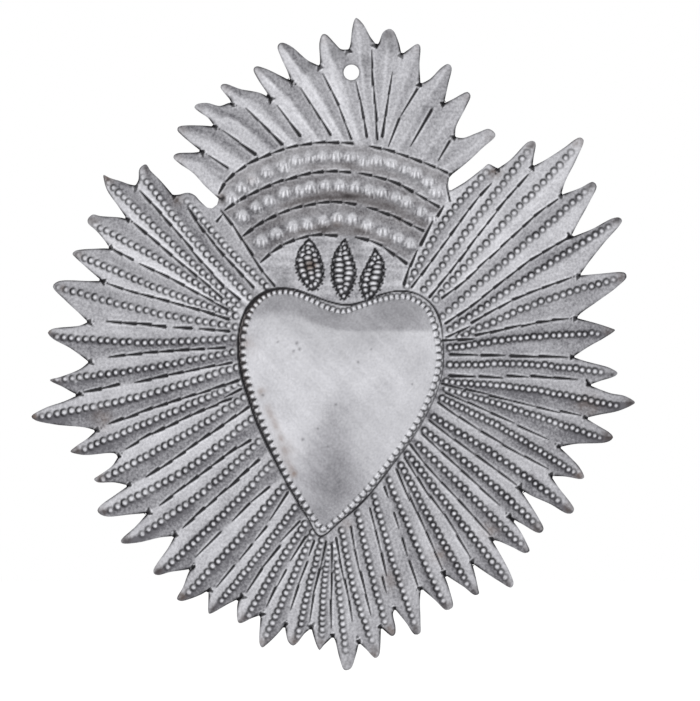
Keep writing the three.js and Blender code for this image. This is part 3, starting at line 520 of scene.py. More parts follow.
def fold(ray, flanks, number, fade):
    """Raise one ray as a roof and give its two flanks their tones."""
    edge, tip, before, after = ray["edge"], ray["tip"], ray["before"], ray["after"]
    inside = filled(np.vstack([edge, after[1:], before[:0:-1]]))
    cols, rows = COLS[inside], ROWS[inside]
    root, beyond = ray["ridge"][:2]
    inward = root + (root - beyond) / math.dist(root, beyond) * ROOT_REACH
    crest = np.vstack([inward, ray["ridge"], edge[tip]])
    to_before, _ = from_path(cols, rows, np.vstack([before[:0:-1], edge[: tip + 1]]))
    to_after, _ = from_path(cols, rows, np.vstack([after[:0:-1], edge[tip:][::-1]]))
    to_crest, along = from_path(cols, rows, crest)
    up_flank = np.minimum(*(side / (side + to_crest + NEAR_ZERO) for side in (to_before, to_after)))
    half_width = (to_before + to_after) / 2
    rise[inside] = RIDGE_PITCH * MM_PER_COLUMN * half_width * up_flank * fade[inside]
    before_tone, after_tone = (flank_shading(flank, to_crest, along / along.max()) for flank in flanks)
    # painted light and shade: each flank gets its own pale or dark tone
    tone[inside] = np.where(to_before < to_after, before_tone, after_tone)
    for kind in (BROAD_STREAKS, FINE_STREAKS):
        tone[inside] += streaks(to_before - to_after, along, tip, **kind)
    # painted highlight along the crest of each plain crown ray
    if not ray["beads"]:
        tone[inside] += CREST_SHINE * bell(to_crest, CREST_WIDTH)
    owner[inside] = number


print("fields of the sheet:", len(PIECES))

# %% Fold every ray
ROOT_FADE = 9
left_line, right_line = joined(LEFT_JUNCTION[-2], LEFT_SIDE), joined(RIGHT_JUNCTION[0], RIGHT_SIDE)
left_rays = fan(LEFT_WING, LEFT_JUNCTION[-1], left_line)
right_rays = fan(RIGHT_WING, RIGHT_JUNCTION[0], right_line)
tail_rays = fan([TAIL_RAY], LEFT_WING[-1][0][-1], left_rays[-1]["after"])
crown_rays = fan(CROWN, LEFT_JUNCTION[0], joined(LEFT_JUNCTION[0], CROWN_START))

arc_lines = [curve(arc) for arc in CROWN_ARCS]
arc_rows = [np.interp(COLS[0], line[:, 0], line[:, 1])[None, :] for line in arc_lines]
heart_fade = smooth_step(heart_gap / ROOT_FADE)
crown_fade = smooth_step((arc_rows[0] - ROWS) / ROOT_FADE)
for rays, all_flanks, name, fade in (
    (left_rays, LEFT_FLANKS, "left_wing", heart_fade),
    (right_rays, RIGHT_FLANKS, "right_wing", heart_fade),
    (tail_rays, TAIL_FLANKS, "tail_ray", heart_fade),
    (crown_rays, CROWN_FLANKS, "crown_rays", crown_fade),
):
    for ray, flanks in zip(rays, all_flanks):
        fold(ray, flanks, NUMBER[name], fade)
print("highest ridge in mm:", rise.max().round(2))

# %% [markdown]
# Under the crown's rays lie three bands between chased arcs, each a low fold, and under them a small flat
# field with three flames. Curves could cut a mesh into these fields. On the grid it is enough to compare each
# point's row with the rows of the arcs in its column.

# %% Bands, flame field and heart
BAND_RISE = 0.6
BAND_SHOULDER = 0.32
BAND_NAMES = ["crown_band_upper", "crown_band_middle", "crown_band_lower"]
BAND_TONES = [-0.02, -0.16, -0.15]
BAND_CLOUDS, FIELD_BRUSH, HEART_CLOUDS = (0.14, 9, 6), (0.16, 22, 3), (0.04, 30, 30)
HEART_BRUSH, BRUSH_WIDTH, BRUSH_LENGTH = 0.06, 1.8, 70
HEART_RISE = 9
SWELL_EDGE = 2.4
BEADS_INSIDE = 1.5


def cloudy(strength, width, height):
    """Soft light and dark patches of one width and height, in columns."""
    return strength * wander(COLS / width, ROWS / height)


below_crown = filled(np.vstack([arc_lines[0], right_line[:-1], [HEART_MIDDLE], left_line[-2::-1]]))
down_bands = [(ROWS - upper) / (lower - upper) for upper, lower in zip(arc_rows[:-1], arc_rows[1:])]
for name, down, shade in zip(BAND_NAMES, down_bands, BAND_TONES):
    band = below_crown & (down >= 0) & (down < 1)
    rise[band] = BAND_RISE * smooth_step(np.minimum(down, 1 - down) / BAND_SHOULDER)[band]
    tone[band] = shade + cloudy(*BAND_CLOUDS)[band]
    owner[band] = NUMBER[name]
field = below_crown & (ROWS >= arc_rows[3])
rise[field] = 0
tone[field] = cloudy(*FIELD_BRUSH)[field]
owner[field] = NUMBER["flame_field"]

heart = heart_share < 1
swell_share = heart_distance / (reach_of(bead_line) - BEADS_INSIDE)
rise = np.where(heart, HEART_RISE * (1 - np.clip(swell_share, 0, 1) ** SWELL_EDGE), rise)
tone[heart] = cloudy(*HEART_CLOUDS)[heart]
tone[heart] += HEART_BRUSH * wander((COLS - ROWS) / BRUSH_WIDTH, (COLS + ROWS) / BRUSH_LENGTH)[heart]
owner[heart] = NUMBER["heart_bead_border"]
dome = heart & (swell_share < 1)
owner[dome] = NUMBER["heart_dome"]
print("heart, highest point in mm:", rise.max().round(2))

# %% [markdown]
# Flames are leaf-shaped ears. The maker drew each one freely, so their outlines are curves through a few
# points, from the top down the left side and up the right side. They could be surfaces of their own, laid on
# the field, but the real ones are pushed up out of it, so they are raised parts of the same grid.

# %% Flames
FLAMES = {
    "flame_left": [
        (309, 239.5), (300.3, 249.5), (296.7, 262.7), (298.7, 274.3), (303.6, 282.6), (312, 290), (318, 287),
        (322, 279.3), (323, 269.3), (319.4, 256), (313.5, 244), (309, 239.5),
    ],
    "flame_centre": [
        (345, 239.5), (340, 246), (334.3, 256), (332.2, 269.3), (332.7, 279.3), (336, 289), (343.5, 299),
        (351.7, 287.5), (355, 276), (354.2, 266), (350, 252.7), (345, 239.5),
    ],
    "flame_right": [
        (375, 249), (370, 260), (363.3, 272.6), (360.5, 282.6), (361.7, 291), (367, 299.5), (374, 295.5),
        (380.8, 284), (383.7, 272.6), (382.4, 261), (375, 249),
    ],
}
FLAME_RISE = 0.4
FLAME_PATINA = 0.9
flame_lines = {name: curve(points) for name, points in FLAMES.items()}
for name, line in flame_lines.items():
    ear = filled(line) & ~heart
    owner[ear] = NUMBER[name]
    rise[ear] = FLAME_RISE
    patina_and_shade[ear] = FLAME_PATINA
print("flames:", len(FLAMES))

# %% [markdown]
# Tin bends, so no fold is as crisp as a drawn one. The sheet and the heart are softened with a bell curve
# about 1 mm wide, and get the slight waves of hand work. A Smooth modifier on the finished mesh would blur
# the beads and strokes too, so the folds are softened before those are made.

# %% Soften the folds
FOLD_SOFTNESS = 2.6
SWELL_SOFTNESS = 2.0
TONE_SOFTNESS = 1.1
WAVE_RISE, WAVE_SIZE, WAVE_START = 0.13, 40, 3
HEART_WAVES = 0.2


def softened(values, reach):
    """Values blurred along both axes by a bell curve, with its reach in columns."""
    radius = reach / GRID_STEP
    last = int(3 * radius)
    weights = np.exp(-0.5 * (np.arange(-last, last + 1) / radius) ** 2)
    weights /= weights.sum()
    for axis in (0, 1):
        values = np.apply_along_axis(np.convolve, axis, values, weights, mode="same")
    return values


soft_folds = softened(np.where(heart, 0, rise), FOLD_SOFTNESS)
rise = np.where(heart, softened(np.where(heart, rise, 0), SWELL_SOFTNESS), soft_folds)
tone = softened(tone, TONE_SOFTNESS)
hand_waves = wander(COLS / WAVE_SIZE + WAVE_START, ROWS / WAVE_SIZE)
rise += np.where(heart, HEART_WAVES, 1) * WAVE_RISE * hand_waves
print("highest fold in mm:", rise[~heart].max().round(2))

# %% [markdown]
# Beads, bosses and kernels are pushed up from behind with round punches. A bead is a low dome with a painted
# highlight on its top. Round its foot lies a dark ring, partly patina and partly painted shade, deepest on one
# side. How far this ring goes round and where it is deepest differs between the upper left, the lower left,
# the bottom, the upper right and the lower right. The last beads towards a tip are worn. Small spheres could
# be laid on the sheet, but a raised grid keeps bead and sheet one surface that is hollow behind, as punched
# tin is.

# %% How a punch marks the sheet
JITTER_SEED = 21
jitter = np.random.default_rng(JITTER_SEED)
# BEAD_SHINE is the painted highlight on the top of each bead
BEAD_SHINE = 0.36
RING_WIDTH = 1.1
RING_DEPTH, RING_PLACE = 1.7, 0.5
HIGHLIGHT_EDGE = 0.15
TOP_SPREAD = 1.8
HIGH_LEFT_RING, LEFT_RING = (2.6, (-1, -0.05), 0.56), (2.9, (-1, -0.1), 0.55)
LOW_RING = (2.75, (-0.9, 0.45), 0.56)
HIGH_RIGHT_RING, RIGHT_RING = (2.6, (-0.35, -0.9), 0.62), (2.6, (-0.1, -0.75), 0.7)


def punch(spot, radius, height, squash=(1, 1), ring=RING_WIDTH, darkness=1.0, shine=BEAD_SHINE,
          lean=RIGHT_RING[1], evenness=RIGHT_RING[2]):
    """A domed punch mark with a painted highlight, and patina and painted shade round it towards the lean."""
    at = around([spot], radius * max(squash) + 3 * ring + 1)
    cols, rows = COLS[at] - spot[0], ROWS[at] - spot[1]
    distance = np.hypot(cols / squash[0], rows / squash[1])
    bulge = 0.5 + 0.5 * np.cos(math.pi * np.clip(distance / radius, 0, 1))
    off_top = smooth_step(distance / radius - HIGHLIGHT_EDGE)
    rise[at] += height * bulge
    # painted highlight: the top of the dome turns bright
    tone[at] += (shine - tone[at]) * smooth_step(bulge * TOP_SPREAD)
    stain_and_shade[at] *= off_top
    # dark ring round the foot, of patina and painted shade, deepest towards the lean
    leaning = (cols * lean[0] + rows * lean[1]) / (np.hypot(cols, rows) + 0.5)
    shade = RING_DEPTH * bell((distance - radius) / ring - RING_PLACE, 1)
    shade *= evenness + (1 - evenness) * leaning
    patina_and_shade[at] = np.maximum(patina_and_shade[at] * off_top, darkness * np.clip(shade, 0, 1))


all_rings = (HIGH_LEFT_RING, LEFT_RING, LOW_RING, HIGH_RIGHT_RING, RIGHT_RING)
print("largest bead in mm:", round(2 * MM_PER_COLUMN * max(radius for radius, _, _ in all_rings), 2))

# %% Beads on the ridges
BEAD_RISE = 0.42
BEAD_JITTER = 0.3
BEAD_SIZES = (0.92, 1.08)
RING_DARKNESS = (0.78, 0.94)
WORN_BEADS = [0.65, 0.9]
RINGS = [HIGH_LEFT_RING] * 8 + [LEFT_RING] * 10 + [LOW_RING] * 3
RINGS += [HIGH_RIGHT_RING] * 5 + [RIGHT_RING] * 11 + [LOW_RING] * 4
bead_total = 0
for ray, (radius, lean, evenness) in zip(left_rays + tail_rays + right_rays, RINGS):
    length = lengths_along(ray["ridge"])[-1]
    spots = points_along(ray["ridge"], np.linspace(0, length, ray["beads"]))
    spots = spots[::-1] + jitter.normal(0, BEAD_JITTER, spots.shape)
    worn = WORN_BEADS + [1] * (len(spots) - len(WORN_BEADS))
    for spot, left in zip(spots, worn):
        size = radius * jitter.uniform(*BEAD_SIZES)
        darkness = left * jitter.uniform(*RING_DARKNESS)
        punch(spot, size, BEAD_RISE * left, darkness=darkness, shine=BEAD_SHINE * left, lean=lean,
              evenness=evenness)
    bead_total += ray["beads"]
print("beads on the rays:", bead_total)

# %% [markdown]
# The bosses of the bands are larger and softer, each with a painted highlight and a soft painted shade
# towards the lower left. A chisel touched each of them three times. Below each row the sheet dips, and
# painted shade lies there, dark and brownish, most in the middle of the span; the top of each band is
# darkened a little too. An array of one boss along each arc would look too even, so each has a place of its
# own and is squashed a little by chance.

# %% Bosses of the bands
BOSSES = [
    [(232, 198), (243, 187), (254, 180), (267, 172), (283, 165), (297, 160), (310, 157), (322, 156),
     (336, 155), (350, 156), (366, 159), (378, 160), (391, 163), (405, 168), (416, 173), (429, 181),
     (436, 191)],
    [(242, 216), (257, 206), (270, 200), (285, 192), (300, 189), (312, 187), (325, 185), (340, 184),
     (355, 186), (370, 190), (383, 192), (396, 196), (407, 202), (422, 210), (432, 217)],
    [(262, 240), (276, 233), (293, 226), (309, 223), (324, 220), (337, 217), (352, 219), (368, 224),
     (383, 229), (397, 236), (410, 243)],
]
BOSS_RADIUS = 7.6
BOSS_HEIGHT = 0.42
BOSS_JITTER = 0.9
BOSS_SQUASH = ((0.9, 0.85), (1.15, 1.05))
# shine is a painted highlight on each boss, and its ring is painted shade towards the lower left
BOSS_LOOK = {"ring": 2.4, "darkness": 0.3, "shine": 0.17, "lean": (-0.5, 0.85), "evenness": 0.3}
BAND_SHADOWS = [(352, 55, 0.42), (350, 72, 0.78), (338, 60, 0.66)]
SHADOW_BELOW, SHADOW_ABOVE = (0.8, 0.17), (0.2, 0.2)
ABOVE_DARKNESS = 0.22
SHADOW_CLOUDS = (0.35, 12, 5)
# painted shade under each row of bosses, dark and brownish, put into both patina and stain
for down, (middle, spread, darkness) in zip(down_bands, BAND_SHADOWS):
    band = below_crown & (down > 0) & (down < 1) & ~heart
    (below, below_width), (above, above_width) = SHADOW_BELOW, SHADOW_ABOVE
    shadow = darkness * bell(COLS - middle, spread) * bell(down - below, below_width)
    shadow += ABOVE_DARKNESS * bell(down - above, above_width)
    shadow *= np.clip(0.8 + cloudy(*SHADOW_CLOUDS), 0, 1.2)
    patina_and_shade[band] = np.maximum(patina_and_shade, shadow)[band]
    stain_and_shade[band] = np.maximum(stain_and_shade, shadow / 2)[band]
for spot in (spot for row in BOSSES for spot in row):
    place = spot + jitter.normal(0, BOSS_JITTER, 2)
    punch(place, BOSS_RADIUS, BOSS_HEIGHT, jitter.uniform(*BOSS_SQUASH), **BOSS_LOOK)
print("bosses:", sum(len(row) for row in BOSSES))

# %% [markdown]
# Kernels lie in rows across each flame, on a dark ground, with up to three of different widths side by side.
# They are punched like the beads and squashed to the width that each one has in its row.

# %% Kernels of the flames
KERNEL_PITCH = 5.2
KERNEL_COLUMNS = {"flame_left": [0.3, 0.36, 0.34], "flame_centre": [0.56, 0.44], "flame_right": [0.42, 0.58]}
KERNEL_RADIUS = 2.8
KERNEL_SIZES = (0.85, 1.1)
KERNEL_HEIGHT = 0.4
KERNEL_STAGGER = 2.2
KERNEL_JITTER = 0.5
# shine is a painted highlight on each kernel
KERNEL_LOOK = {"ring": 0.7, "shine": 0.44}
KERNEL_HALF, KERNEL_GAP, SLIMMEST = 2.5, 0.1, 0.8
FLAME_MARGIN, TOP_MARGIN, BOTTOM_MARGIN = 1.6, 5, 1.5
WIDE_ROW, NARROW_ROW = 10, 6.5
kernels = 0
for name, shares in KERNEL_COLUMNS.items():
    line = flame_lines[name]
    bottom = int(np.argmax(line[:, 1]))
    left, right = line[: bottom + 1], line[bottom:][::-1]
    for row in np.arange(line[0, 1] + TOP_MARGIN, line[bottom, 1] - BOTTOM_MARGIN, KERNEL_PITCH):
        start = np.interp(row, left[:, 1], left[:, 0]) + FLAME_MARGIN
        end = np.interp(row, right[:, 1], right[:, 0]) - FLAME_MARGIN
        parts = shares if end - start > WIDE_ROW else [0.5, 0.5] if end - start > NARROW_ROW else [1]
        stops = start + (end - start) * np.concatenate([[0], np.cumsum(parts)])
        for number, (first, last) in enumerate(zip(stops[:-1], stops[1:])):
            height_on = row - KERNEL_STAGGER * (number % 2)
            spot = np.array(((first + last) / 2, height_on)) + jitter.normal(0, KERNEL_JITTER, 2)
            squash = (max(((last - first) / 2 - KERNEL_GAP) / KERNEL_HALF, SLIMMEST), 1)
            radius = KERNEL_RADIUS * jitter.uniform(*KERNEL_SIZES)
            punch(spot, radius, KERNEL_HEIGHT, squash, **KERNEL_LOOK)
            kernels += 1
print("kernels:", kernels)

# %% [markdown]
# The heart's border is a row of small round beads at the foot of the swell. They stand closer along the top.
# Each has a painted highlight, and patina and painted shade on its outer side. Between them and the outline
# runs a light strip, which is darker and browner towards the left. The beads could be spread evenly over the
# curve. The maker's steps were uneven, so the code walks along it, with one step at the top and another at
# the sides.

# %% Beads of the heart's border
BORDER_BEAD_RADIUS = 2.9
BORDER_BEAD_RISE = 0.6
BORDER_JITTER = 0.25
BORDER_LOOK = {"ring": 0.9, "evenness": 0.45}
# shine is a painted highlight on each border bead, and darkness its ring of patina and painted shade
LEFT_LOOK, RIGHT_LOOK = {"darkness": 0.9, "shine": 0.32}, {"darkness": 0.78, "shine": 0.24}
TOP_PITCH, SIDE_PITCH = 5.6, 7.6
TOP_END = 318
LEFT_END = HEART_MIDDLE[0] - 30
STRIP_STAIN, STRIP_PATINA = 0.35, 0.45
STRIP_SHINE, STRIP_SHADE = 0.15, 0.3
BROWN_COLUMN, BROWN_COLUMNS = HEART_MIDDLE[0] - 20, 70
BROWN_ROW, BROWN_ROWS, BROWN_LOSS = 375, 60, 0.7
strip = heart & ~dome
dark_brown_left = smooth_step((BROWN_COLUMN - COLS) / BROWN_COLUMNS)
dark_brown_left *= 1 - BROWN_LOSS * smooth_step((ROWS - BROWN_ROW) / BROWN_ROWS)
stain_and_shade[strip] = np.maximum(stain_and_shade, STRIP_STAIN * dark_brown_left)[strip]
patina_and_shade[strip] = np.maximum(patina_and_shade, STRIP_PATINA * dark_brown_left)[strip]
tone[strip] += (STRIP_SHINE - STRIP_SHADE * dark_brown_left)[strip]
border_spots = []
distance = 0.0
while distance < lengths_along(bead_line)[-1] - SIDE_PITCH / 2:
    spot = points_along(bead_line, [distance])[0]
    lean = (spot - HEART_MIDDLE) / math.dist(spot, HEART_MIDDLE)
    look = LEFT_LOOK if spot[0] < LEFT_END else RIGHT_LOOK
    place = spot + jitter.normal(0, BORDER_JITTER, 2)
    punch(place, BORDER_BEAD_RADIUS, BORDER_BEAD_RISE, lean=lean, **BORDER_LOOK, **look)
    border_spots.append(spot)
    distance += TOP_PITCH if spot[1] < TOP_END else SIDE_PITCH
print("border beads:", len(border_spots))

# %% [markdown]
# Chased lines are rows of chisel strokes. Each stroke starts fine, gets wider inwards and ends blunt, with a
# thin raised lip where the tin was pushed aside, painted bright as a highlight, and dark patina in the cut. A
# bump texture could draw the strokes, but it has no depth from the side and leaves nothing in the mesh, so
# they are cut into the grid.

# %% How a chisel cuts the sheet
STROKE_LENGTH = 15.5
BOLD_STROKE = 3.7
STROKE_DEPTH = 0.24
STROKE_START, STROKE_GROWTH, STROKE_CURVE = 0.32, 0.68, 0.7
CUT_DARKNESS = 0.95
CUT_EDGE = 0.5
LIP_RISE = 0.05
LIP_WIDTH = 0.9
LIP_SHINE = 0.24
LIP_START, LIP_END = 0.1, 0.95
BLUNT_END, BLUNT_LEAST = 0.06, 0.1
STROKE_WIDTHS = (0.8, 1.1)


def chisel(start, end, width=BOLD_STROKE, depth=STROKE_DEPTH, darkness=CUT_DARKNESS):
    """One stroke of the chisel between two points."""
    path = np.array((start, end))
    at = around(path, width + 3 * LIP_WIDTH)
    distance, along = from_path(COLS[at], ROWS[at], path)
    share = along / math.dist(start, end)
    half = width / 2 * (STROKE_START + STROKE_GROWTH * share**STROKE_CURVE)
    half *= np.sqrt(np.clip((1 - share) / BLUNT_END, BLUNT_LEAST, 1))
    cut = smooth_step(half + CUT_EDGE - distance)
    lip = bell(distance - half - LIP_WIDTH, LIP_WIDTH) * (share > LIP_START) * (share < LIP_END)
    rise[at] += LIP_RISE * lip * (1 - cut) - depth * cut
    # painted highlight on the lip beside the cut
    tone[at] += LIP_SHINE * lip * (1 - cut)
    patina_and_shade[at] = np.maximum(patina_and_shade[at] * (1 - lip / 2), darkness * cut)


def chase(runs, stroke_length=STROKE_LENGTH, width=BOLD_STROKE, sway=0.35, swell=0.0, overlap=0.03):
    """Fill each run of a line with strokes that follow on one another, growing wider by the swell."""
    for run in runs:
        path = np.array(run, float)
        length = lengths_along(path)[-1]
        count = max(1, round(length / stroke_length))
        stops = points_along(path, np.linspace(0, length, count + 1))
        for number, (start, end) in enumerate(zip(stops[:-1], stops[1:])):
            reach_on = overlap * (end - start)
            shift = jitter.normal(0, sway, 2)
            broad = width * (1 + swell * (number / max(count - 1, 1) - 0.5))
            chisel(start - reach_on + shift, end + reach_on + shift, broad * jitter.uniform(*STROKE_WIDTHS))


print("stroke in mm:", round(STROKE_LENGTH * MM_PER_COLUMN, 1), "by", round(BOLD_STROKE * MM_PER_COLUMN, 1))

# %% Chase the lines, and touch the bosses with the chisel
RIGHT_STROKE = 3.2
FINE_STROKE = 2.7
MANNERS = [
    (LEFT_WING[:13], {}),
    (RIGHT_WING[:6], {"width": RIGHT_STROKE}),
    (RIGHT_WING[6:8], {"stroke_length": 28}),
    (LEFT_WING[13:] + RIGHT_WING[8:], {"stroke_length": 24, "width": FINE_STROKE}),
    (CROWN[:4], {"stroke_length": 20, "width": 3.6, "swell": 0.6}),
    (CROWN[4:9], {"stroke_length": 20, "width": 2.9, "swell": 0.3}),
]
OUTWARD_MANNER = {"stroke_length": 36, "width": RIGHT_STROKE}
SIDE_MANNER = {"stroke_length": 18}
EXTRA_MANNER = {"stroke_length": 20, "width": FINE_STROKE}
ARC_MANNER = {"stroke_length": 14, "width": 3.9, "sway": 0.3, "overlap": -0.04}
EXTRA_STROKES = [
    [(225, 397), (242, 388)], [(223, 214), (217, 221.5)], [(215, 194.5), (222, 199.5)],
    [(446, 184), (450, 202)],
]
ARC_BREAKS = [(355, 367), (353, 358), (359, 365), (340, 353)]
BOSS_TICKS = [(-4.0, -1.0, -4.8, 4.6, 1.8), (0.4, -0.6, 0.5, 6.8, 3.3), (4.0, -1.0, 4.8, 4.6, 1.8)]
TICK_JITTER = 1.0
TICK_DEPTH = 0.08
TICK_DARKNESS = (0.2, 0.5)
for some_rays, manner in MANNERS:
    for _, _, _, strokes in some_rays:
        chase(strokes, **manner)
for _, _, _, strokes in CROWN[9:-1]:
    chase([run[::-1] for run in strokes], **OUTWARD_MANNER)
chase(LEFT_SIDE + RIGHT_SIDE, **SIDE_MANNER)
chase(EXTRA_STROKES, **EXTRA_MANNER)
for line, (gap_start, gap_end) in zip(arc_lines, ARC_BREAKS):
    struck = line[1:-1]
    chase([struck[struck[:, 0] < gap_start], struck[struck[:, 0] > gap_end]], **ARC_MANNER)
for spot in (spot for row in BOSSES for spot in row):
    for left, top, right, bottom, width in BOSS_TICKS:
        place = spot + jitter.normal(0, TICK_JITTER, 2)
        dark = jitter.uniform(*TICK_DARKNESS)
        chisel(place + (left, top), place + (right, bottom), width, TICK_DEPTH, dark)
print("patina covers", round(100 * float((patina_and_shade > 0.5).mean()), 1), "% of the grid")

# %% [markdown]
# The heart's outline is one deep line, wider on the left and finer down the right, with a dark spike between
# each two beads. Each flame has a line with small nicks that point down and outwards. A curve with a bevel
# would lie on the sheet as a wire does. A cut goes in, so each line is taken out of the grid, by the distance
# to its curve.

# %% Outline of the heart
OUTLINE_WIDTH = 2.0
OUTLINE_DEPTH = 0.3
OUTLINE_PATINA = 0.95
LEFT_EXTRA_WIDTH = 0.8
RIGHT_LESS_WIDTH = 0.5
RIGHT_LESS_PATINA = 0.27
TOP_SPIKE, LEFT_SPIKE, RIGHT_SPIKE = (2.5, 1.9, 2.1), (4.2, 2.4, 3.2), (2.8, 2.7, 2.3)
SPIKE_DEPTH = 0.1
SPIKE_DARKNESS = 0.86
LEFT_COLUMNS, RIGHT_COLUMNS, RIGHT_ROWS = (40, 40), (20, 60), 20
LINE_SWAY, LINE_WAVE, LINE_MARGIN = 0.25, 14, 8


def swaying(along, length):
    """A soft random value from -1 to 1 that changes along a line."""
    return wander(along / length, 0 * along)


at = around(heart_line, LINE_MARGIN)
distance, along = from_path(COLS[at], ROWS[at], heart_line)
on_left = smooth_step((HEART_MIDDLE[0] - LEFT_COLUMNS[0] - COLS[at]) / LEFT_COLUMNS[1])
on_right = smooth_step((COLS[at] - HEART_MIDDLE[0] - RIGHT_COLUMNS[0]) / RIGHT_COLUMNS[1])
on_right *= smooth_step((ROWS[at] - TOP_END) / RIGHT_ROWS)
thick = OUTLINE_WIDTH + LEFT_EXTRA_WIDTH * on_left - RIGHT_LESS_WIDTH * on_right
cut = smooth_step(thick / 2 * (1 + LINE_SWAY * swaying(along, LINE_WAVE)) + CUT_EDGE - distance)
rise[at] -= OUTLINE_DEPTH * cut
patina_and_shade[at] = np.maximum(patina_and_shade[at], (OUTLINE_PATINA - RIGHT_LESS_PATINA * on_right) * cut)
for spot, next_spot in zip(border_spots, border_spots[1:] + border_spots[:1]):
    between, (across, down) = (spot + next_spot) / 2, (next_spot - spot) / math.dist(spot, next_spot)
    outward = np.array((down, -across))
    outward *= math.copysign(1, outward @ (between - HEART_MIDDLE))
    side_spike = LEFT_SPIKE if between[0] < LEFT_END else RIGHT_SPIKE
    width, reach_in, reach_out = TOP_SPIKE if between[1] < TOP_END else side_spike
    start, end = between - reach_in * outward, between + reach_out * outward
    chisel(start, end, width, SPIKE_DEPTH, SPIKE_DARKNESS)
print("heart line in mm:", round(lengths_along(heart_line)[-1] * MM_PER_COLUMN, 1))

# %% Outlines of the flames
FLAME_LINE, FLAME_SWAY, FLAME_WAVE = 1.35, 0.45, 4
FLAME_DEPTH = 0.2
FLAME_DARKNESS = 0.96
NICK_PITCH = 7.2
NICK_LENGTH = 2.7
NICK_WIDTH = 2.4
NICK_DEPTH = 0.1
NICK_DARKNESS = 0.9
NICK_SLOPE = 0.8
nicks = 0
for line in flame_lines.values():
    at = around(line, LINE_MARGIN)
    distance, along = from_path(COLS[at], ROWS[at], line)
    cut = smooth_step(FLAME_LINE + FLAME_SWAY * swaying(along, FLAME_WAVE) + CUT_EDGE - distance)
    rise[at] -= FLAME_DEPTH * cut
    patina_and_shade[at] = np.maximum(patina_and_shade[at], FLAME_DARKNESS * cut)
    middle = line.mean(axis=0)
    for spot in points_along(line, np.arange(NICK_PITCH, lengths_along(line)[-1], NICK_PITCH)):
        way = np.array((math.copysign(1, spot[0] - middle[0]), NICK_SLOPE))
        chisel(spot, spot + NICK_LENGTH * way / math.hypot(*way), NICK_WIDTH, NICK_DEPTH, NICK_DARKNESS)
        nicks += 1
print("nicks round the flames:", nicks)

# %% [markdown]
# Age shows as brown stains, dark smudges and small pits; some of the dark smudges are painted shade in
# corners and on dark flanks. They could be painted by hand as a picture. Here each one is a place, a size and
# a strength, so that it can be moved or taken away.

# %% Stains and pits
STAINS = [
    (588, 405, 16, 0.35), (102, 420, 14, 0.3), (440, 555, 12, 0.35), (490, 530, 12, 0.3), (390, 580, 12, 0.3),
    (345, 525, 9, 0.35), (285, 452, 14, 0.3), (294, 474, 5, 0.8), (311, 265, 8, 1.6), (246, 345, 12, 0.35),
    (400, 215, 12, 0.25), (337, 227, 10, 0.4), (250, 178, 9, 0.2), (262, 392, 7, 0.45), (221, 198, 6, 0.7),
    (62, 288, 4, 0.6), (49, 332, 4, 0.6), (34, 416, 5, 0.7), (612, 437, 4, 0.6),
]
PITS = [
    (263, 395, 1.5), (358, 362, 1.2), (336, 404, 1.4), (303, 439, 1.5), (328, 446, 1.2), (318, 428, 1.2),
    (297, 343, 1.6), (300, 349, 1.6), (294, 351, 1.3), (371, 349, 1.1), (412, 384, 1.1), (278, 342, 1.0),
]
PIT_DEPTH, PIT_PATINA = 0.05, 0.55
# dark smudges: some are patina, some are painted shade in corners and on dark flanks
SMUDGES_AND_SHADE = [
    (222.5, 198.8, 4, 1.2), (282, 283, 9, 0.42), (409, 250, 5, 0.45), (352, 243, 8, 0.3), (258, 172, 5, 0.3),
    (388, 35, 7, 0.5), (390, 46, 8, 0.4), (366, 62, 7, 0.3), (337, 51, 8, 0.45), (425, 108, 4, 0.35),
    (311, 63, 8, 0.35), (346, 58, 5, 0.35), (368, 75, 4, 0.25),
    (381, 141, 6, 0.3), (410, 148, 6, 0.25), (432, 153, 5, 0.2), (318, 244, 6, 0.35), (357, 254, 6, 0.3),
    (311, 263, 5, 0.35), (617, 220, 5, 0.55), (374.5, 649, 4, 0.42), (346, 666, 5, 0.25), (392, 630, 4, 0.25),
    (416, 628, 5, 0.25), (94, 419, 8, 0.2), (112, 452, 6, 0.2),
]
BROWN_STREAK = [(268, 408), (279, 433), (293, 474)]
BROWN_STRENGTH, BROWN_REACH = 0.42, 4
STREAK_PATCHES = {"size": 6, "swing": 0.6}
STAIN_PATCHES, SMUDGE_AND_SHADE_PATCHES = {"size": 5, "swing": 0.6, "low": 0.4}, {"size": 4, "swing": 0.5, "low": 0.6}
to_streak, _ = from_path(COLS, ROWS, np.array(BROWN_STREAK, float))
stain_and_shade = np.maximum(stain_and_shade, BROWN_STRENGTH * bell(to_streak, BROWN_REACH) * patches(**STREAK_PATCHES))
uneven = patches(**STAIN_PATCHES)
for column, row, radius, strength in STAINS:
    spread = from_spot((column, row)) / radius
    stain_and_shade = np.maximum(stain_and_shade, strength * np.exp(-2 * spread**2) * uneven)
uneven = patches(**SMUDGE_AND_SHADE_PATCHES)
for column, row, radius, strength in SMUDGES_AND_SHADE:
    patina_and_shade = np.maximum(patina_and_shade, strength * bell(from_spot((column, row)), radius) * uneven)
for column, row, radius in PITS:
    pit = bell(from_spot((column, row)), radius)
    rise -= PIT_DEPTH * pit
    patina_and_shade = np.maximum(patina_and_shade, PIT_PATINA * pit)
print("stains, smudges and pits:", len(STAINS), len(SMUDGES_AND_SHADE), len(PITS))

# %% [markdown]
# The heart's top and a streak down to its tip are painted darker, as painted reflections of a darker room. A
# dark card beside the lamp could do the same, but its reflection would move with the view. Both parts are
# painted as tone and stay where they are.

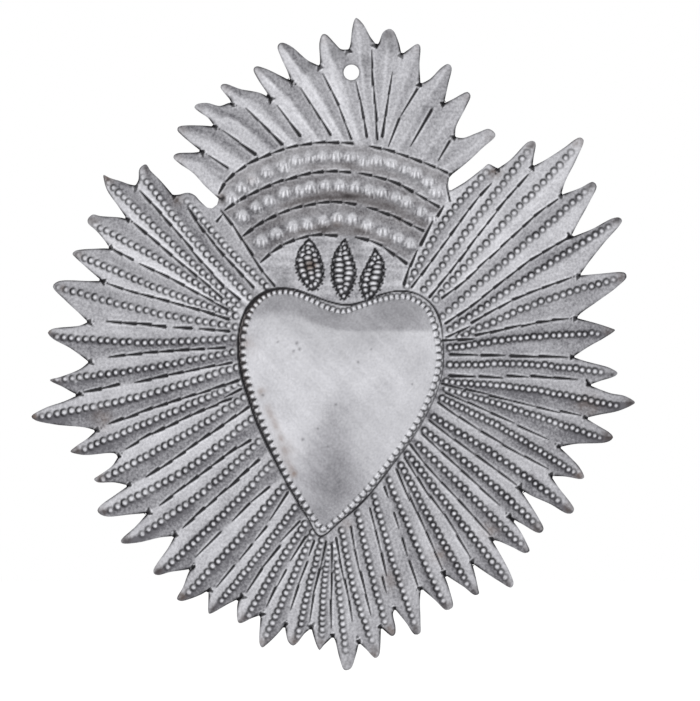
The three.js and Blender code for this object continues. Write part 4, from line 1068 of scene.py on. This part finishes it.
# %% Painted reflections on the heart
TOP_SHADE = [
    (236, 325), (249, 321.5), (258, 316.5), (274.7, 312.5), (289.7, 313.5), (299.6, 318), (313, 323),
    (326, 327.5), (339, 330), (353, 331.5), (386, 331), (446, 331),
]
SOFT_COLUMN, SHARP_COLUMN = 250, 340
SOFT_EDGE, SHARP_EDGE = 14, 5
STREAK_COLUMN, STREAK_ROW, STREAK_LEAN = 340, 400, 0.12
STREAK_WIDTH, STREAK_SPREAD, SPREAD_ROW, SPREAD_ROWS = 12, 0.3, 395, 80
STREAK_TOP, STREAK_FADE = 370, 110
TOP_DARK_REFLECTION, STREAK_DARK_REFLECTION = 0.25, 0.38
shade_row = np.interp(COLS[0], *np.array(TOP_SHADE).T)[None, :]
shade_edge = np.interp(COLS[0], (SOFT_COLUMN, SHARP_COLUMN), (SOFT_EDGE, SHARP_EDGE))[None, :]
top_shade = smooth_step((shade_row - ROWS) / shade_edge + 0.5)
streak_middle = STREAK_COLUMN - STREAK_LEAN * (ROWS - STREAK_ROW)
streak_width = STREAK_WIDTH + STREAK_SPREAD * np.clip(ROWS - SPREAD_ROW, 0, SPREAD_ROWS)
streak = bell(COLS - streak_middle, streak_width) * smooth_step((ROWS - STREAK_TOP) / STREAK_FADE)
# painted reflections: the heart's top and a streak down to its tip are darkened
tone -= np.where(dome, TOP_DARK_REFLECTION * top_shade + STREAK_DARK_REFLECTION * streak, 0)
print("tone of the heart:", tone[dome].min().round(2), "to", tone[dome].max().round(2))

# %% [markdown]
# A dark line runs along the cut: the burr of the shears, and painted shade at the sheet's edge, widest in
# the notches. In each notch the corner of a chisel leaves a few dark cuts. The tips of the rays are handled
# most and get brown. All of this follows the outline, so the code finds the places by the distance to it.

# %% The cut edge
EDGE_LINE_WIDTH = 1.3
EDGE_LINE_DARKNESS = 0.92
EDGE_LINE_MIDDLE, EDGE_LINE_SWAY, EDGE_LINE_WAVE = 0.62, 0.45, 9
EDGE_LINE_LEAST, EDGE_LINE_MOST = 0.12, 1.25
NOTCH_REACH = 8
sheet_line = np.vstack(
    [LEFT_JUNCTION]
    + [ray["edge"] for ray in left_rays + tail_rays]
    + [ray["edge"][::-1] for ray in right_rays[::-1]]
    + [RIGHT_JUNCTION]
    + [ray["edge"][::-1] for ray in crown_rays[::-1]]
)
closed_line = np.vstack([sheet_line, sheet_line[:1]])
hole_distance = from_spot((HOLE_COLUMN, HOLE_ROW))
sheet = filled(sheet_line) & (hole_distance > HOLE_RADIUS)


def grown(mask, times):
    """A mask with its neighbours on all sides added, so many times."""
    for _ in range(times):
        for axis in (0, 1):
            mask = mask | np.roll(mask, 1, axis) | np.roll(mask, -1, axis)
    return mask


by_edge = grown(sheet, 1) & grown(~sheet, 4)
all_rays = left_rays + tail_rays + right_rays + crown_rays
distance, along = from_path(COLS[by_edge], ROWS[by_edge], closed_line)
distance = np.minimum(distance, np.abs(hole_distance[by_edge] - HOLE_RADIUS))
to_notch = np.min([from_spot(ray["edge"][-1], by_edge) for ray in all_rays], axis=0)
by_notch = bell(to_notch, NOTCH_REACH)
# dark line along the cut: burr and painted shade at the edge, wider near the notches
edge_line = bell(distance, EDGE_LINE_WIDTH + by_notch)
edge_line *= np.clip(EDGE_LINE_MIDDLE + EDGE_LINE_SWAY * swaying(along, EDGE_LINE_WAVE) + by_notch, EDGE_LINE_LEAST, EDGE_LINE_MOST)
patina_and_shade[by_edge] = np.maximum(patina_and_shade[by_edge], EDGE_LINE_DARKNESS * edge_line)
print("sheet area in square cm:", round(sheet.sum() * (GRID_STEP * MM_PER_COLUMN / 10) ** 2, 1))

# %% Notches and tips
NOTCH_CUTS = [(0, 1.0), (0.9, 0.7), (-0.9, 0.6)]
NOTCH_STROKE, NOTCH_LENGTHS = 6, (0.4, 1.1)
NOTCH_WIDTH, NOTCH_DEPTH = 4.8, 0.1
NOTCH_DARKNESS = (0.7, 1)
TIP_RADIUS, TIP_INSIDE = 6, 5
TIP_STAIN, TIP_PATINA = (0.05, 0.6), (0.25, 0.65)
TIP_PATCHES = {"size": 3, "swing": 0.6, "middle": 0.7}
CROWN_TIP_WEAR = 0.35
for ray in all_rays:
    notch, tip = ray["edge"][-1], ray["edge"][ray["tip"]]
    inward = (ray["after"][1] - notch) / math.dist(ray["after"][1], notch)
    sideways = np.array((-inward[1], inward[0]))
    for aside, length in NOTCH_CUTS:
        end = notch + NOTCH_STROKE * length * jitter.uniform(*NOTCH_LENGTHS) * (inward + aside * sideways)
        chisel(end, notch + inward, NOTCH_WIDTH, NOTCH_DEPTH, jitter.uniform(*NOTCH_DARKNESS))
    spot = tip + TIP_INSIDE * (ray["ridge"][0] - tip) / math.dist(ray["ridge"][0], tip)
    at = around([spot], 3 * TIP_RADIUS)
    smudge = bell(from_spot(spot, at), TIP_RADIUS) * patches(**TIP_PATCHES, at=at)
    worn = 1 if ray["beads"] else CROWN_TIP_WEAR
    stain_and_shade[at] = np.maximum(stain_and_shade[at], worn * jitter.uniform(*TIP_STAIN) * smudge)
    patina_and_shade[at] = np.maximum(patina_and_shade[at], worn * jitter.uniform(*TIP_PATINA) * smudge)
print("notches and tips:", len(all_rays))

# %% [markdown]
# The grid has square steps, but shears cut clean lines. So each grid point just outside the sheet is moved
# onto the nearest place of the outline or of the punched hole, and the cells between follow.

# %% Snap the rim to the cut edge
rim = grown(sheet, 1) & ~sheet
snapped_cols, snapped_rows = COLS.copy(), ROWS.copy()
_, along = from_path(COLS[rim], ROWS[rim], closed_line)
on_edge = points_along(closed_line, along)
toward = HOLE_RADIUS / np.maximum(hole_distance[rim], NEAR_ZERO)
on_hole = np.stack([
    HOLE_COLUMN + (COLS[rim] - HOLE_COLUMN) * toward,
    HOLE_ROW + (ROWS[rim] - HOLE_ROW) * toward,
], axis=1)
in_hole = hole_distance[rim] <= HOLE_RADIUS
landed = np.where(in_hole[:, None], on_hole, on_edge)
snapped_cols[rim], snapped_rows[rim] = landed[:, 0], landed[:, 1]

owner[~sheet] = 0
unnamed = sheet & (owner == 0)
while unnamed.any():
    for axis, way in ((0, 1), (0, -1), (1, 1), (1, -1)):
        beside = np.roll(owner, way, axis)
        owner[unnamed] = beside[unnamed]
        unnamed = sheet & (owner == 0)
cells_owner = np.zeros((COLS.shape[0] - 1, COLS.shape[1] - 1), int)
for corner in (owner[1:, 1:], owner[1:, :-1], owner[:-1, 1:], owner[:-1, :-1]):
    cells_owner = np.where(corner > 0, corner, cells_owner)
print("rim points:", int(rim.sum()), "cells:", int((cells_owner > 0).sum()))

# %% [markdown]
# Nobody chases the back, so it is plain tin that shows the work in reverse. The hollow of each bead and boss
# gets patina and painted shade, the hollow folds get painted shade, and the chased lines, which stand up
# there, get painted light. The rise of the front gives all of it: where it is higher than a blurred copy of
# itself, the back is hollow.

# %% Tones of the back
HOLLOW_REACH = 5
HOLLOW_TONE = 1.5
HOLLOW_PATINA_AND_SHADE = 0.6
HOLLOW_START, HOLLOW_SPAN = 0.1, 0.2
FOLD_TONE = 0.3
MIDDLE_FOLD, HIGHEST_FOLD = 0.4, 1.15
BACK_TONE_RANGE = (-0.55, 0.35)
folds = softened(rise, HOLLOW_REACH)
hollow = np.where(dome, 0, rise - folds)
fold_tone = FOLD_TONE * (np.clip(folds, 0, HIGHEST_FOLD) - MIDDLE_FOLD)
# painted shade in the hollows and folds of the back, painted light on the raised lines
back_tone = np.clip(-HOLLOW_TONE * hollow - fold_tone, *BACK_TONE_RANGE)
back_patina_and_shade = HOLLOW_PATINA_AND_SHADE * smooth_step((hollow - HOLLOW_START) / HOLLOW_SPAN)
print("back tones from", back_tone[sheet].min().round(2), "to", back_tone[sheet].max().round(2))

# %% [markdown]
# Each field becomes a closed solid: a front at full detail, a back with a coarser grid, since a punched bead
# is only a soft hollow behind, and a wall as thick as the sheet round its rim. The edges of the wall stay
# sharp. Cuts are no deeper than a limit and never reach behind the flat back. A Solidify modifier could give
# the thickness, but it would repeat every fine point of the front on the back.

# %% Faces of a field: front, back and walls
POINT = np.arange(COLS.size).reshape(COLS.shape)
BOTTOM_LEFT, BOTTOM_RIGHT = POINT[1:, :-1], POINT[1:, 1:]
TOP_LEFT, TOP_RIGHT = POINT[:-1, :-1], POINT[:-1, 1:]
CELL_CORNERS = (BOTTOM_LEFT, BOTTOM_RIGHT, TOP_RIGHT, TOP_LEFT)
CELL_SIDES = (
    ((1, 0), BOTTOM_LEFT, BOTTOM_RIGHT),
    ((0, 1), BOTTOM_RIGHT, TOP_RIGHT),
    ((-1, 0), TOP_RIGHT, TOP_LEFT),
    ((0, -1), TOP_LEFT, BOTTOM_LEFT),
)
BLOCK_RING = [(2, 0), (2, 1), (2, 2), (1, 2), (0, 2), (0, 1), (0, 0), (1, 0)]


def shifted(cells, down, right):
    """The neighbour of each cell, with nothing past the grid's edge."""
    padded = np.pad(cells, 1)
    return padded[1 + down: 1 + down + cells.shape[0], 1 + right: 1 + right + cells.shape[1]]


def walls_of(cells):
    """The two grid points of each wall, one for each side of a cell that has no neighbour."""
    walls = []
    for way, start, end in CELL_SIDES:
        open_side = cells & ~shifted(cells, *way)
        walls.append(np.stack([start[open_side], end[open_side]], axis=1))
    return np.vstack(walls)


def coarse_back(cells):
    """Faces of the back: blocks of four cells where they are whole, and single cells along the rim."""
    height, width = (size + size % 2 for size in cells.shape)
    padded = np.zeros((height, width), bool)
    padded[: cells.shape[0], : cells.shape[1]] = cells
    whole = padded[0::2, 0::2] & padded[1::2, 0::2] & padded[0::2, 1::2] & padded[1::2, 1::2]
    single = padded & ~np.kron(whole, np.ones((2, 2), bool))
    block_row, block_col = (2 * index for index in np.nonzero(whole))
    corners = np.stack([POINT[block_row + down, block_col + right] for down, right in BLOCK_RING], axis=1)
    always = np.ones(len(corners), bool)
    sides = [shifted(whole, *way)[whole] for way, _, _ in CELL_SIDES]
    kept = np.stack([flag for side in sides for flag in (always, ~side)], axis=1)
    quads = np.stack([corner[single[: cells.shape[0], : cells.shape[1]]] for corner in CELL_CORNERS], axis=1)
    loops = np.concatenate([corners[:, ::-1][kept[:, ::-1]], quads[:, ::-1].ravel()])
    totals = np.concatenate([kept.sum(axis=1), np.full(len(quads), 4)])
    return loops, totals


print("walls of the whole sheet:", len(walls_of(cells_owner > 0)))

# %% A mesh with its tones, sharp edges and map
BACK_UV, UV_WIDTH = 0.52, 0.48


def make_mesh(name, places, loops, totals):
    """A smooth mesh from its points and the corners of its faces."""
    mesh = bpy.data.meshes.new(name)
    mesh.vertices.add(len(places))
    mesh.vertices.foreach_set("co", places.ravel())
    mesh.loops.add(len(loops))
    mesh.loops.foreach_set("vertex_index", loops.astype(np.int32))
    mesh.polygons.add(len(totals))
    mesh.polygons.foreach_set("loop_start", (np.cumsum(totals) - totals).astype(np.int32))
    mesh.polygons.foreach_set("use_smooth", np.ones(len(totals), bool))
    mesh.update(calc_edges=True)
    return mesh


def paint(mesh, front_points, back_points):
    """The tones of the grid as attributes, which the tin reads."""
    clean = np.zeros(COLS.shape)
    for label, before, behind in (
        ("patina_and_shade", patina_and_shade, back_patina_and_shade), ("stain_and_shade", stain_and_shade, clean), ("tone", tone, back_tone),
    ):
        values = np.concatenate([before.ravel()[front_points], behind.ravel()[back_points]])
        layer = mesh.attributes.new(label, "FLOAT", "POINT")
        layer.data.foreach_set("value", values.astype(np.float32))


def sharpen(mesh, creases):
    """Keep the edges sharp where the wall meets the front and the back."""
    edges = np.zeros(2 * len(mesh.edges), np.int32)
    mesh.edges.foreach_get("vertices", edges)
    edges = np.sort(edges.reshape(-1, 2), axis=1)
    creases = np.sort(creases, axis=1)
    key = len(mesh.vertices)
    sharp = np.isin(edges[:, 0].astype(np.int64) * key + edges[:, 1], creases[:, 0] * key + creases[:, 1])
    mesh.attributes.new("sharp_edge", "BOOLEAN", "EDGE").data.foreach_set("value", sharp)


def unwrap(mesh, points, front, back_loops, walls):
    """Lay the front and the back side by side on the map."""
    corners = np.concatenate([front.ravel(), back_loops, walls[:, [1, 0, 0, 1]].ravel()])
    start = np.repeat([0.0, BACK_UV, 0.0], [front.size, len(back_loops), 4 * len(walls)])
    across = COLS.ravel()[corners] - COLS.ravel()[points].min()
    upward = ROWS.ravel()[points].max() - ROWS.ravel()[corners]
    uv = np.stack([start + UV_WIDTH * across / across.max(), upward / upward.max()], axis=1)
    mesh.uv_layers.new(name="OFBake").data.foreach_set("uv", uv.ravel().astype(np.float32))


print("share of the map for the back starts at", BACK_UV)

# %% How a piece is made
SHEET_THICKNESS = 0.5
DEEPEST_CUT = 0.3
rise = np.maximum(rise, -DEEPEST_CUT)
X = (snapped_cols - HOLE_COLUMN) * COLUMN_WIDTH
Z = (HOLE_ROW - snapped_rows) * ROW_HEIGHT


def numbers_of(points, first):
    """The number in the mesh of each grid point that is used, counted from the first."""
    numbers = np.zeros(COLS.size, int)
    numbers[points] = np.arange(len(points)) + first
    return numbers


def make_piece(name, material):
    """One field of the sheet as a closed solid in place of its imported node."""
    cells = cells_owner == NUMBER[name]
    front = np.stack([corner[cells] for corner in CELL_CORNERS], axis=1)
    back_loops, back_totals = coarse_back(cells)
    walls = walls_of(cells)
    front_points, back_points = np.unique(front), np.unique(back_loops)
    front_number = numbers_of(front_points, 0)
    back_number = numbers_of(back_points, len(front_points))
    wall_loops = np.stack([
        front_number[walls[:, 1]], front_number[walls[:, 0]],
        back_number[walls[:, 0]], back_number[walls[:, 1]],
    ], axis=1)
    loops = np.concatenate([front_number[front].ravel(), back_number[back_loops], wall_loops.ravel()])
    totals = np.concatenate([np.full(len(front), 4), back_totals, np.full(len(walls), 4)])

    points = np.concatenate([front_points, back_points])
    front_rise, back_rise = rise.ravel()[front_points], rise.ravel()[back_points]
    depth = -MM * np.concatenate([front_rise + SHEET_THICKNESS, np.maximum(back_rise, 0)])
    places = np.stack([X.ravel()[points], depth, Z.ravel()[points]], axis=1)
    mesh = make_mesh(name + "_tin", places, loops, totals)
    paint(mesh, front_points, back_points)
    sharpen(mesh, np.vstack([wall_loops[:, :2], wall_loops[:, 2:]]))
    unwrap(mesh, points, front, back_loops, walls)
    mesh.materials.append(material)
    piece = bpy.data.objects.new(name + "_sheet", mesh)
    bpy.context.scene.collection.objects.link(piece)
    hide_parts(name)
    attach(piece, "root")
    return piece


print("rise of the sheet in mm:", rise[sheet].min().round(2), "to", rise[sheet].max().round(2))

# %% [markdown]
# Nodes can be made and linked one by one, but shader maths reads best as plain sums. This small class wraps a
# socket, so that adding or multiplying two of them puts a Math node into the tree, and one method makes every
# other kind of node.


# %% Shader maths
class Wire:
    """An output socket that sums and products can be written with."""

    def __init__(self, socket):
        self.socket = socket

    @staticmethod
    def node(tree, kind, settings=None, inputs=None, output=0):
        made = tree.nodes.new(kind)
        for name, value in (settings or {}).items():
            setattr(made, name, value)
        for name, value in (inputs or {}).items():
            if isinstance(value, Wire):
                tree.links.new(value.socket, made.inputs[name])
            else:
                made.inputs[name].default_value = value
        return Wire(made.outputs[output]) if len(made.outputs) else made

    def math(self, operation, first, second):
        inputs = {0: first, 1: second}
        return Wire.node(self.socket.id_data, "ShaderNodeMath", {"operation": operation}, inputs)

    def clamped(self):
        return Wire.node(self.socket.id_data, "ShaderNodeClamp", inputs={"Value": self})

    def beside(self, output):
        return Wire(self.socket.node.outputs[output])

    def __add__(self, other):
        return self.math("ADD", self, other)

    def __radd__(self, other):
        return self.math("ADD", other, self)

    def __sub__(self, other):
        return self.math("SUBTRACT", self, other)

    def __rsub__(self, other):
        return self.math("SUBTRACT", other, self)

    def __mul__(self, other):
        return self.math("MULTIPLY", self, other)

    def __rmul__(self, other):
        return self.math("MULTIPLY", other, self)


def mixed(tree, share, one, other):
    """One colour turning into another."""
    settings = {"data_type": "RGBA", "blend_type": "MIX"}
    return Wire.node(tree, "ShaderNodeMix", settings, {0: share, 6: one, 7: other}, output=2)


def colour(red, green, blue):
    """A colour written as on a screen, from 0 to 255, as the light values that a shader takes."""
    channels = [channel / 255 for channel in (red, green, blue)]
    linear = [c / 12.92 if c <= 0.04045 else ((c + 0.055) / 1.055) ** 2.4 for c in channels]
    return (*linear, 1.0)


print("mid grey as light:", [round(value, 3) for value in colour(165, 164, 170)])

# %% [markdown]
# Old tin is a grey metal with a soft sheen: streaks from the rolling and rubbing, cloudy patches, fine pits,
# and dark patina in every cut. One recipe gives two finishes. The chased sheet is dull and streaked, and the
# raised heart is rubbed brighter and smoother. A picture of tin could be wrapped over it, but its marks would
# not follow the beads and cuts. So the patina, stain and tone that were painted on the grid, with the painted
# light and shade in them, drive it, and noise adds what is too fine for the grid.

# %% Tin finishes
DARK_TIN = colour(110, 109, 114)
PALE_TIN = colour(246, 246, 251)
BLACK_PATINA_AND_SHADE = colour(34, 33, 36)
BROWN_STAIN_AND_SHADE = colour(122, 98, 80)
CLOUD_SCALE, CLOUD_DETAIL = 95.0, 5.0
SPECK_SCALE, SPECK_DETAIL = 1300.0, 3.0
CLOUD_TONE, CLOUD_HEIGHT = 0.45, 0.6
STAIN_BASE, STAIN_CLOUDS = 0.6, 0.8
CLOUD_ROUGHNESS, SPECK_ROUGHNESS, PATINA_ROUGHNESS = 0.22, 0.18, 0.25
GRAIN_STRENGTH, GRAIN_DEPTH = 0.22, 0.0002
METAL_SHARE = 0.9


def tin(name, brightness, roughness, grain):
    """Tin that takes its patina, stains and tones from the mesh, with the painted light and shade in them."""
    material = bpy.data.materials.new(name)
    material.use_nodes = True
    tree = material.node_tree
    tree.nodes.clear()
    place = Wire.node(tree, "ShaderNodeTexCoord", output="Object")
    patina_and_shade_value, stain_and_shade_value, tone_value = (
        Wire.node(tree, "ShaderNodeAttribute", {"attribute_name": label}, output="Fac")
        for label in ("patina_and_shade", "stain_and_shade", "tone")
    )
    clouds, specks = (
        Wire.node(tree, "ShaderNodeTexNoise", inputs={"Vector": place, "Scale": scale, "Detail": detail})
        for scale, detail in ((CLOUD_SCALE, CLOUD_DETAIL), (SPECK_SCALE, SPECK_DETAIL))
    )
    pale = brightness + tone_value + CLOUD_TONE * (clouds - 0.5) + grain * (specks - 0.5)
    bare = mixed(tree, pale.clamped(), DARK_TIN, PALE_TIN)
    stained = mixed(tree, stain_and_shade_value * (STAIN_BASE + STAIN_CLOUDS * clouds).clamped(), bare, BROWN_STAIN_AND_SHADE)
    base = mixed(tree, patina_and_shade_value, stained, BLACK_PATINA_AND_SHADE)
    rough = roughness + CLOUD_ROUGHNESS * (clouds - 0.5) + SPECK_ROUGHNESS * (specks - 0.5)
    rough = rough + PATINA_ROUGHNESS * patina_and_shade_value
    bump = Wire.node(tree, "ShaderNodeBump", inputs={
        "Strength": GRAIN_STRENGTH, "Distance": GRAIN_DEPTH, "Height": specks + CLOUD_HEIGHT * clouds,
    })
    shader = Wire.node(tree, "ShaderNodeBsdfPrincipled", inputs={
        "Base Color": base, "Metallic": METAL_SHARE, "Roughness": rough.clamped(), "Normal": bump,
    })
    Wire.node(tree, "ShaderNodeOutputMaterial", inputs={"Surface": shader})
    return material


chased_tin = tin("chased_tin", brightness=0.4, roughness=0.42, grain=0.8)
rubbed_tin = tin("rubbed_tin", brightness=0.57, roughness=0.16, grain=0.35)

for name in PIECES:
    finish, slot = (rubbed_tin, "bright_tin") if name == "heart_dome" else (chased_tin, "chased_tin")
    piece = make_piece(name, finish)
    print(piece.name, "faces:", len(piece.data.polygons))

# %% [markdown]
# The floor is a pale sheet below the heart. Plain white paper would turn grey away from the lamp. So the
# camera and the shiny tin see it glow a little, almost white, and it still takes the heart's shadow.

# %% Floor
FLOOR_DROP = 0.02
FLOOR_SIZE = 1.6
WHITE, PAPER_GREY = (1, 1, 1, 1), (0.85, 0.85, 0.85, 1)
PAPER_GLOW, GLOW_SHARE = 1.13, 0.8
bpy.ops.mesh.primitive_plane_add(size=FLOOR_SIZE, location=(0, 0, CAD_LOW.z - FLOOR_DROP))
floor = bpy.context.object
floor.name = "pale_floor"
paper = bpy.data.materials.new("white_paper")
paper.use_nodes = True
tree = paper.node_tree
tree.nodes.clear()
camera_ray = Wire.node(tree, "ShaderNodeLightPath", output="Is Camera Ray")
seen = (camera_ray + camera_ray.beside("Is Glossy Ray")).clamped()
matt = Wire.node(tree, "ShaderNodeBsdfDiffuse", inputs={"Color": PAPER_GREY})
glow = Wire.node(tree, "ShaderNodeEmission", inputs={"Color": WHITE, "Strength": PAPER_GLOW})
blend = Wire.node(tree, "ShaderNodeMixShader", inputs={0: GLOW_SHARE * seen, 1: matt, 2: glow})
Wire.node(tree, "ShaderNodeOutputMaterial", inputs={"Surface": blend})
floor.data.materials.append(paper)
print("floor in m:", FLOOR_SIZE)

# %% [markdown]
# The world is the room that the tin shows. A picture of a room could light it. Here it is plain: white to the
# camera and in reflections of what lies behind the heart, so that the background is white, and a bright room
# with a darker ceiling for all other light.

# %% World
ROOM_LIGHT, CEILING_DIMNESS = 1.02, 0.18
CEILING_START, CEILING_END = 0.3, 0.7
BEHIND_START, BEHIND_END = 0.0, 0.15


def ramp(tree, value, low, high):
    """Zero up to low, one from high on, smooth between."""
    inputs = {"Value": value, "From Min": low, "From Max": high}
    return Wire.node(tree, "ShaderNodeMapRange", {"interpolation_type": "SMOOTHSTEP"}, inputs)


world = bpy.data.worlds.new("studio")
bpy.context.scene.world = world
world.use_nodes = True
tree = world.node_tree
tree.nodes.clear()
way = Wire.node(tree, "ShaderNodeTexCoord", output="Generated")
y_way = Wire.node(tree, "ShaderNodeSeparateXYZ", inputs={"Vector": way}, output="Y")
room = ROOM_LIGHT * (1 - CEILING_DIMNESS * ramp(tree, y_way.beside("Z"), CEILING_START, CEILING_END))
behind = ramp(tree, y_way, BEHIND_START, BEHIND_END)
camera_ray = Wire.node(tree, "ShaderNodeLightPath", output="Is Camera Ray")
clear_ray, glossy_ray = camera_ray.beside("Is Transmission Ray"), camera_ray.beside("Is Glossy Ray")
white = (camera_ray + clear_ray + glossy_ray * behind).clamped()
strength = white + (1 - white) * room
sky = Wire.node(tree, "ShaderNodeBackground", inputs={"Color": WHITE, "Strength": strength})
Wire.node(tree, "ShaderNodeOutputWorld", inputs={"Surface": sky})
print("nodes of the world:", len(tree.nodes))

# %% [markdown]
# One large soft lamp on the left gives the floor its shadow. More lamps could light the tin, but metal shows
# its surroundings and would only get more spots, so its light comes from the room. The camera looks straight
# on, from so far that the heart's rise hardly shifts it.

# %% Lamp and camera
CAMERA_DISTANCE = 1.2
IMAGE_COLUMNS, IMAGE_ROWS = 700, 701
SENSOR = 36.0
LAMP_PLACE, LAMP_SIZE, LAMP_POWER = (-1.0, -1.0, 0.35), 0.8, 6
centre_x = (IMAGE_COLUMNS / 2 - HOLE_COLUMN) * COLUMN_WIDTH
centre_z = (HOLE_ROW - IMAGE_ROWS / 2) * ROW_HEIGHT

lamp = bpy.data.lights.new("key_left", "AREA")
lamp.size = LAMP_SIZE
lamp.energy = LAMP_POWER
holder = bpy.data.objects.new("key_left", lamp)
holder.location = LAMP_PLACE
to_sheet = Vector((centre_x, 0, centre_z)) - holder.location
holder.rotation_euler = to_sheet.to_track_quat("-Z", "Y").to_euler()
holder.visible_camera = False
holder.visible_glossy = False
bpy.context.scene.collection.objects.link(holder)

view = bpy.data.cameras.new("front_view")
view.sensor_width = SENSOR
view.lens = SENSOR * CAMERA_DISTANCE / (IMAGE_ROWS * ROW_HEIGHT)
camera = bpy.data.objects.new("front_view", view)
camera.location = (centre_x, -CAMERA_DISTANCE, centre_z)
camera.rotation_euler = (math.pi / 2, 0, 0)
bpy.context.scene.collection.objects.link(camera)
bpy.context.scene.camera = camera
bpy.context.scene.view_settings.view_transform = "Standard"
print("lens in mm:", round(view.lens, 1))
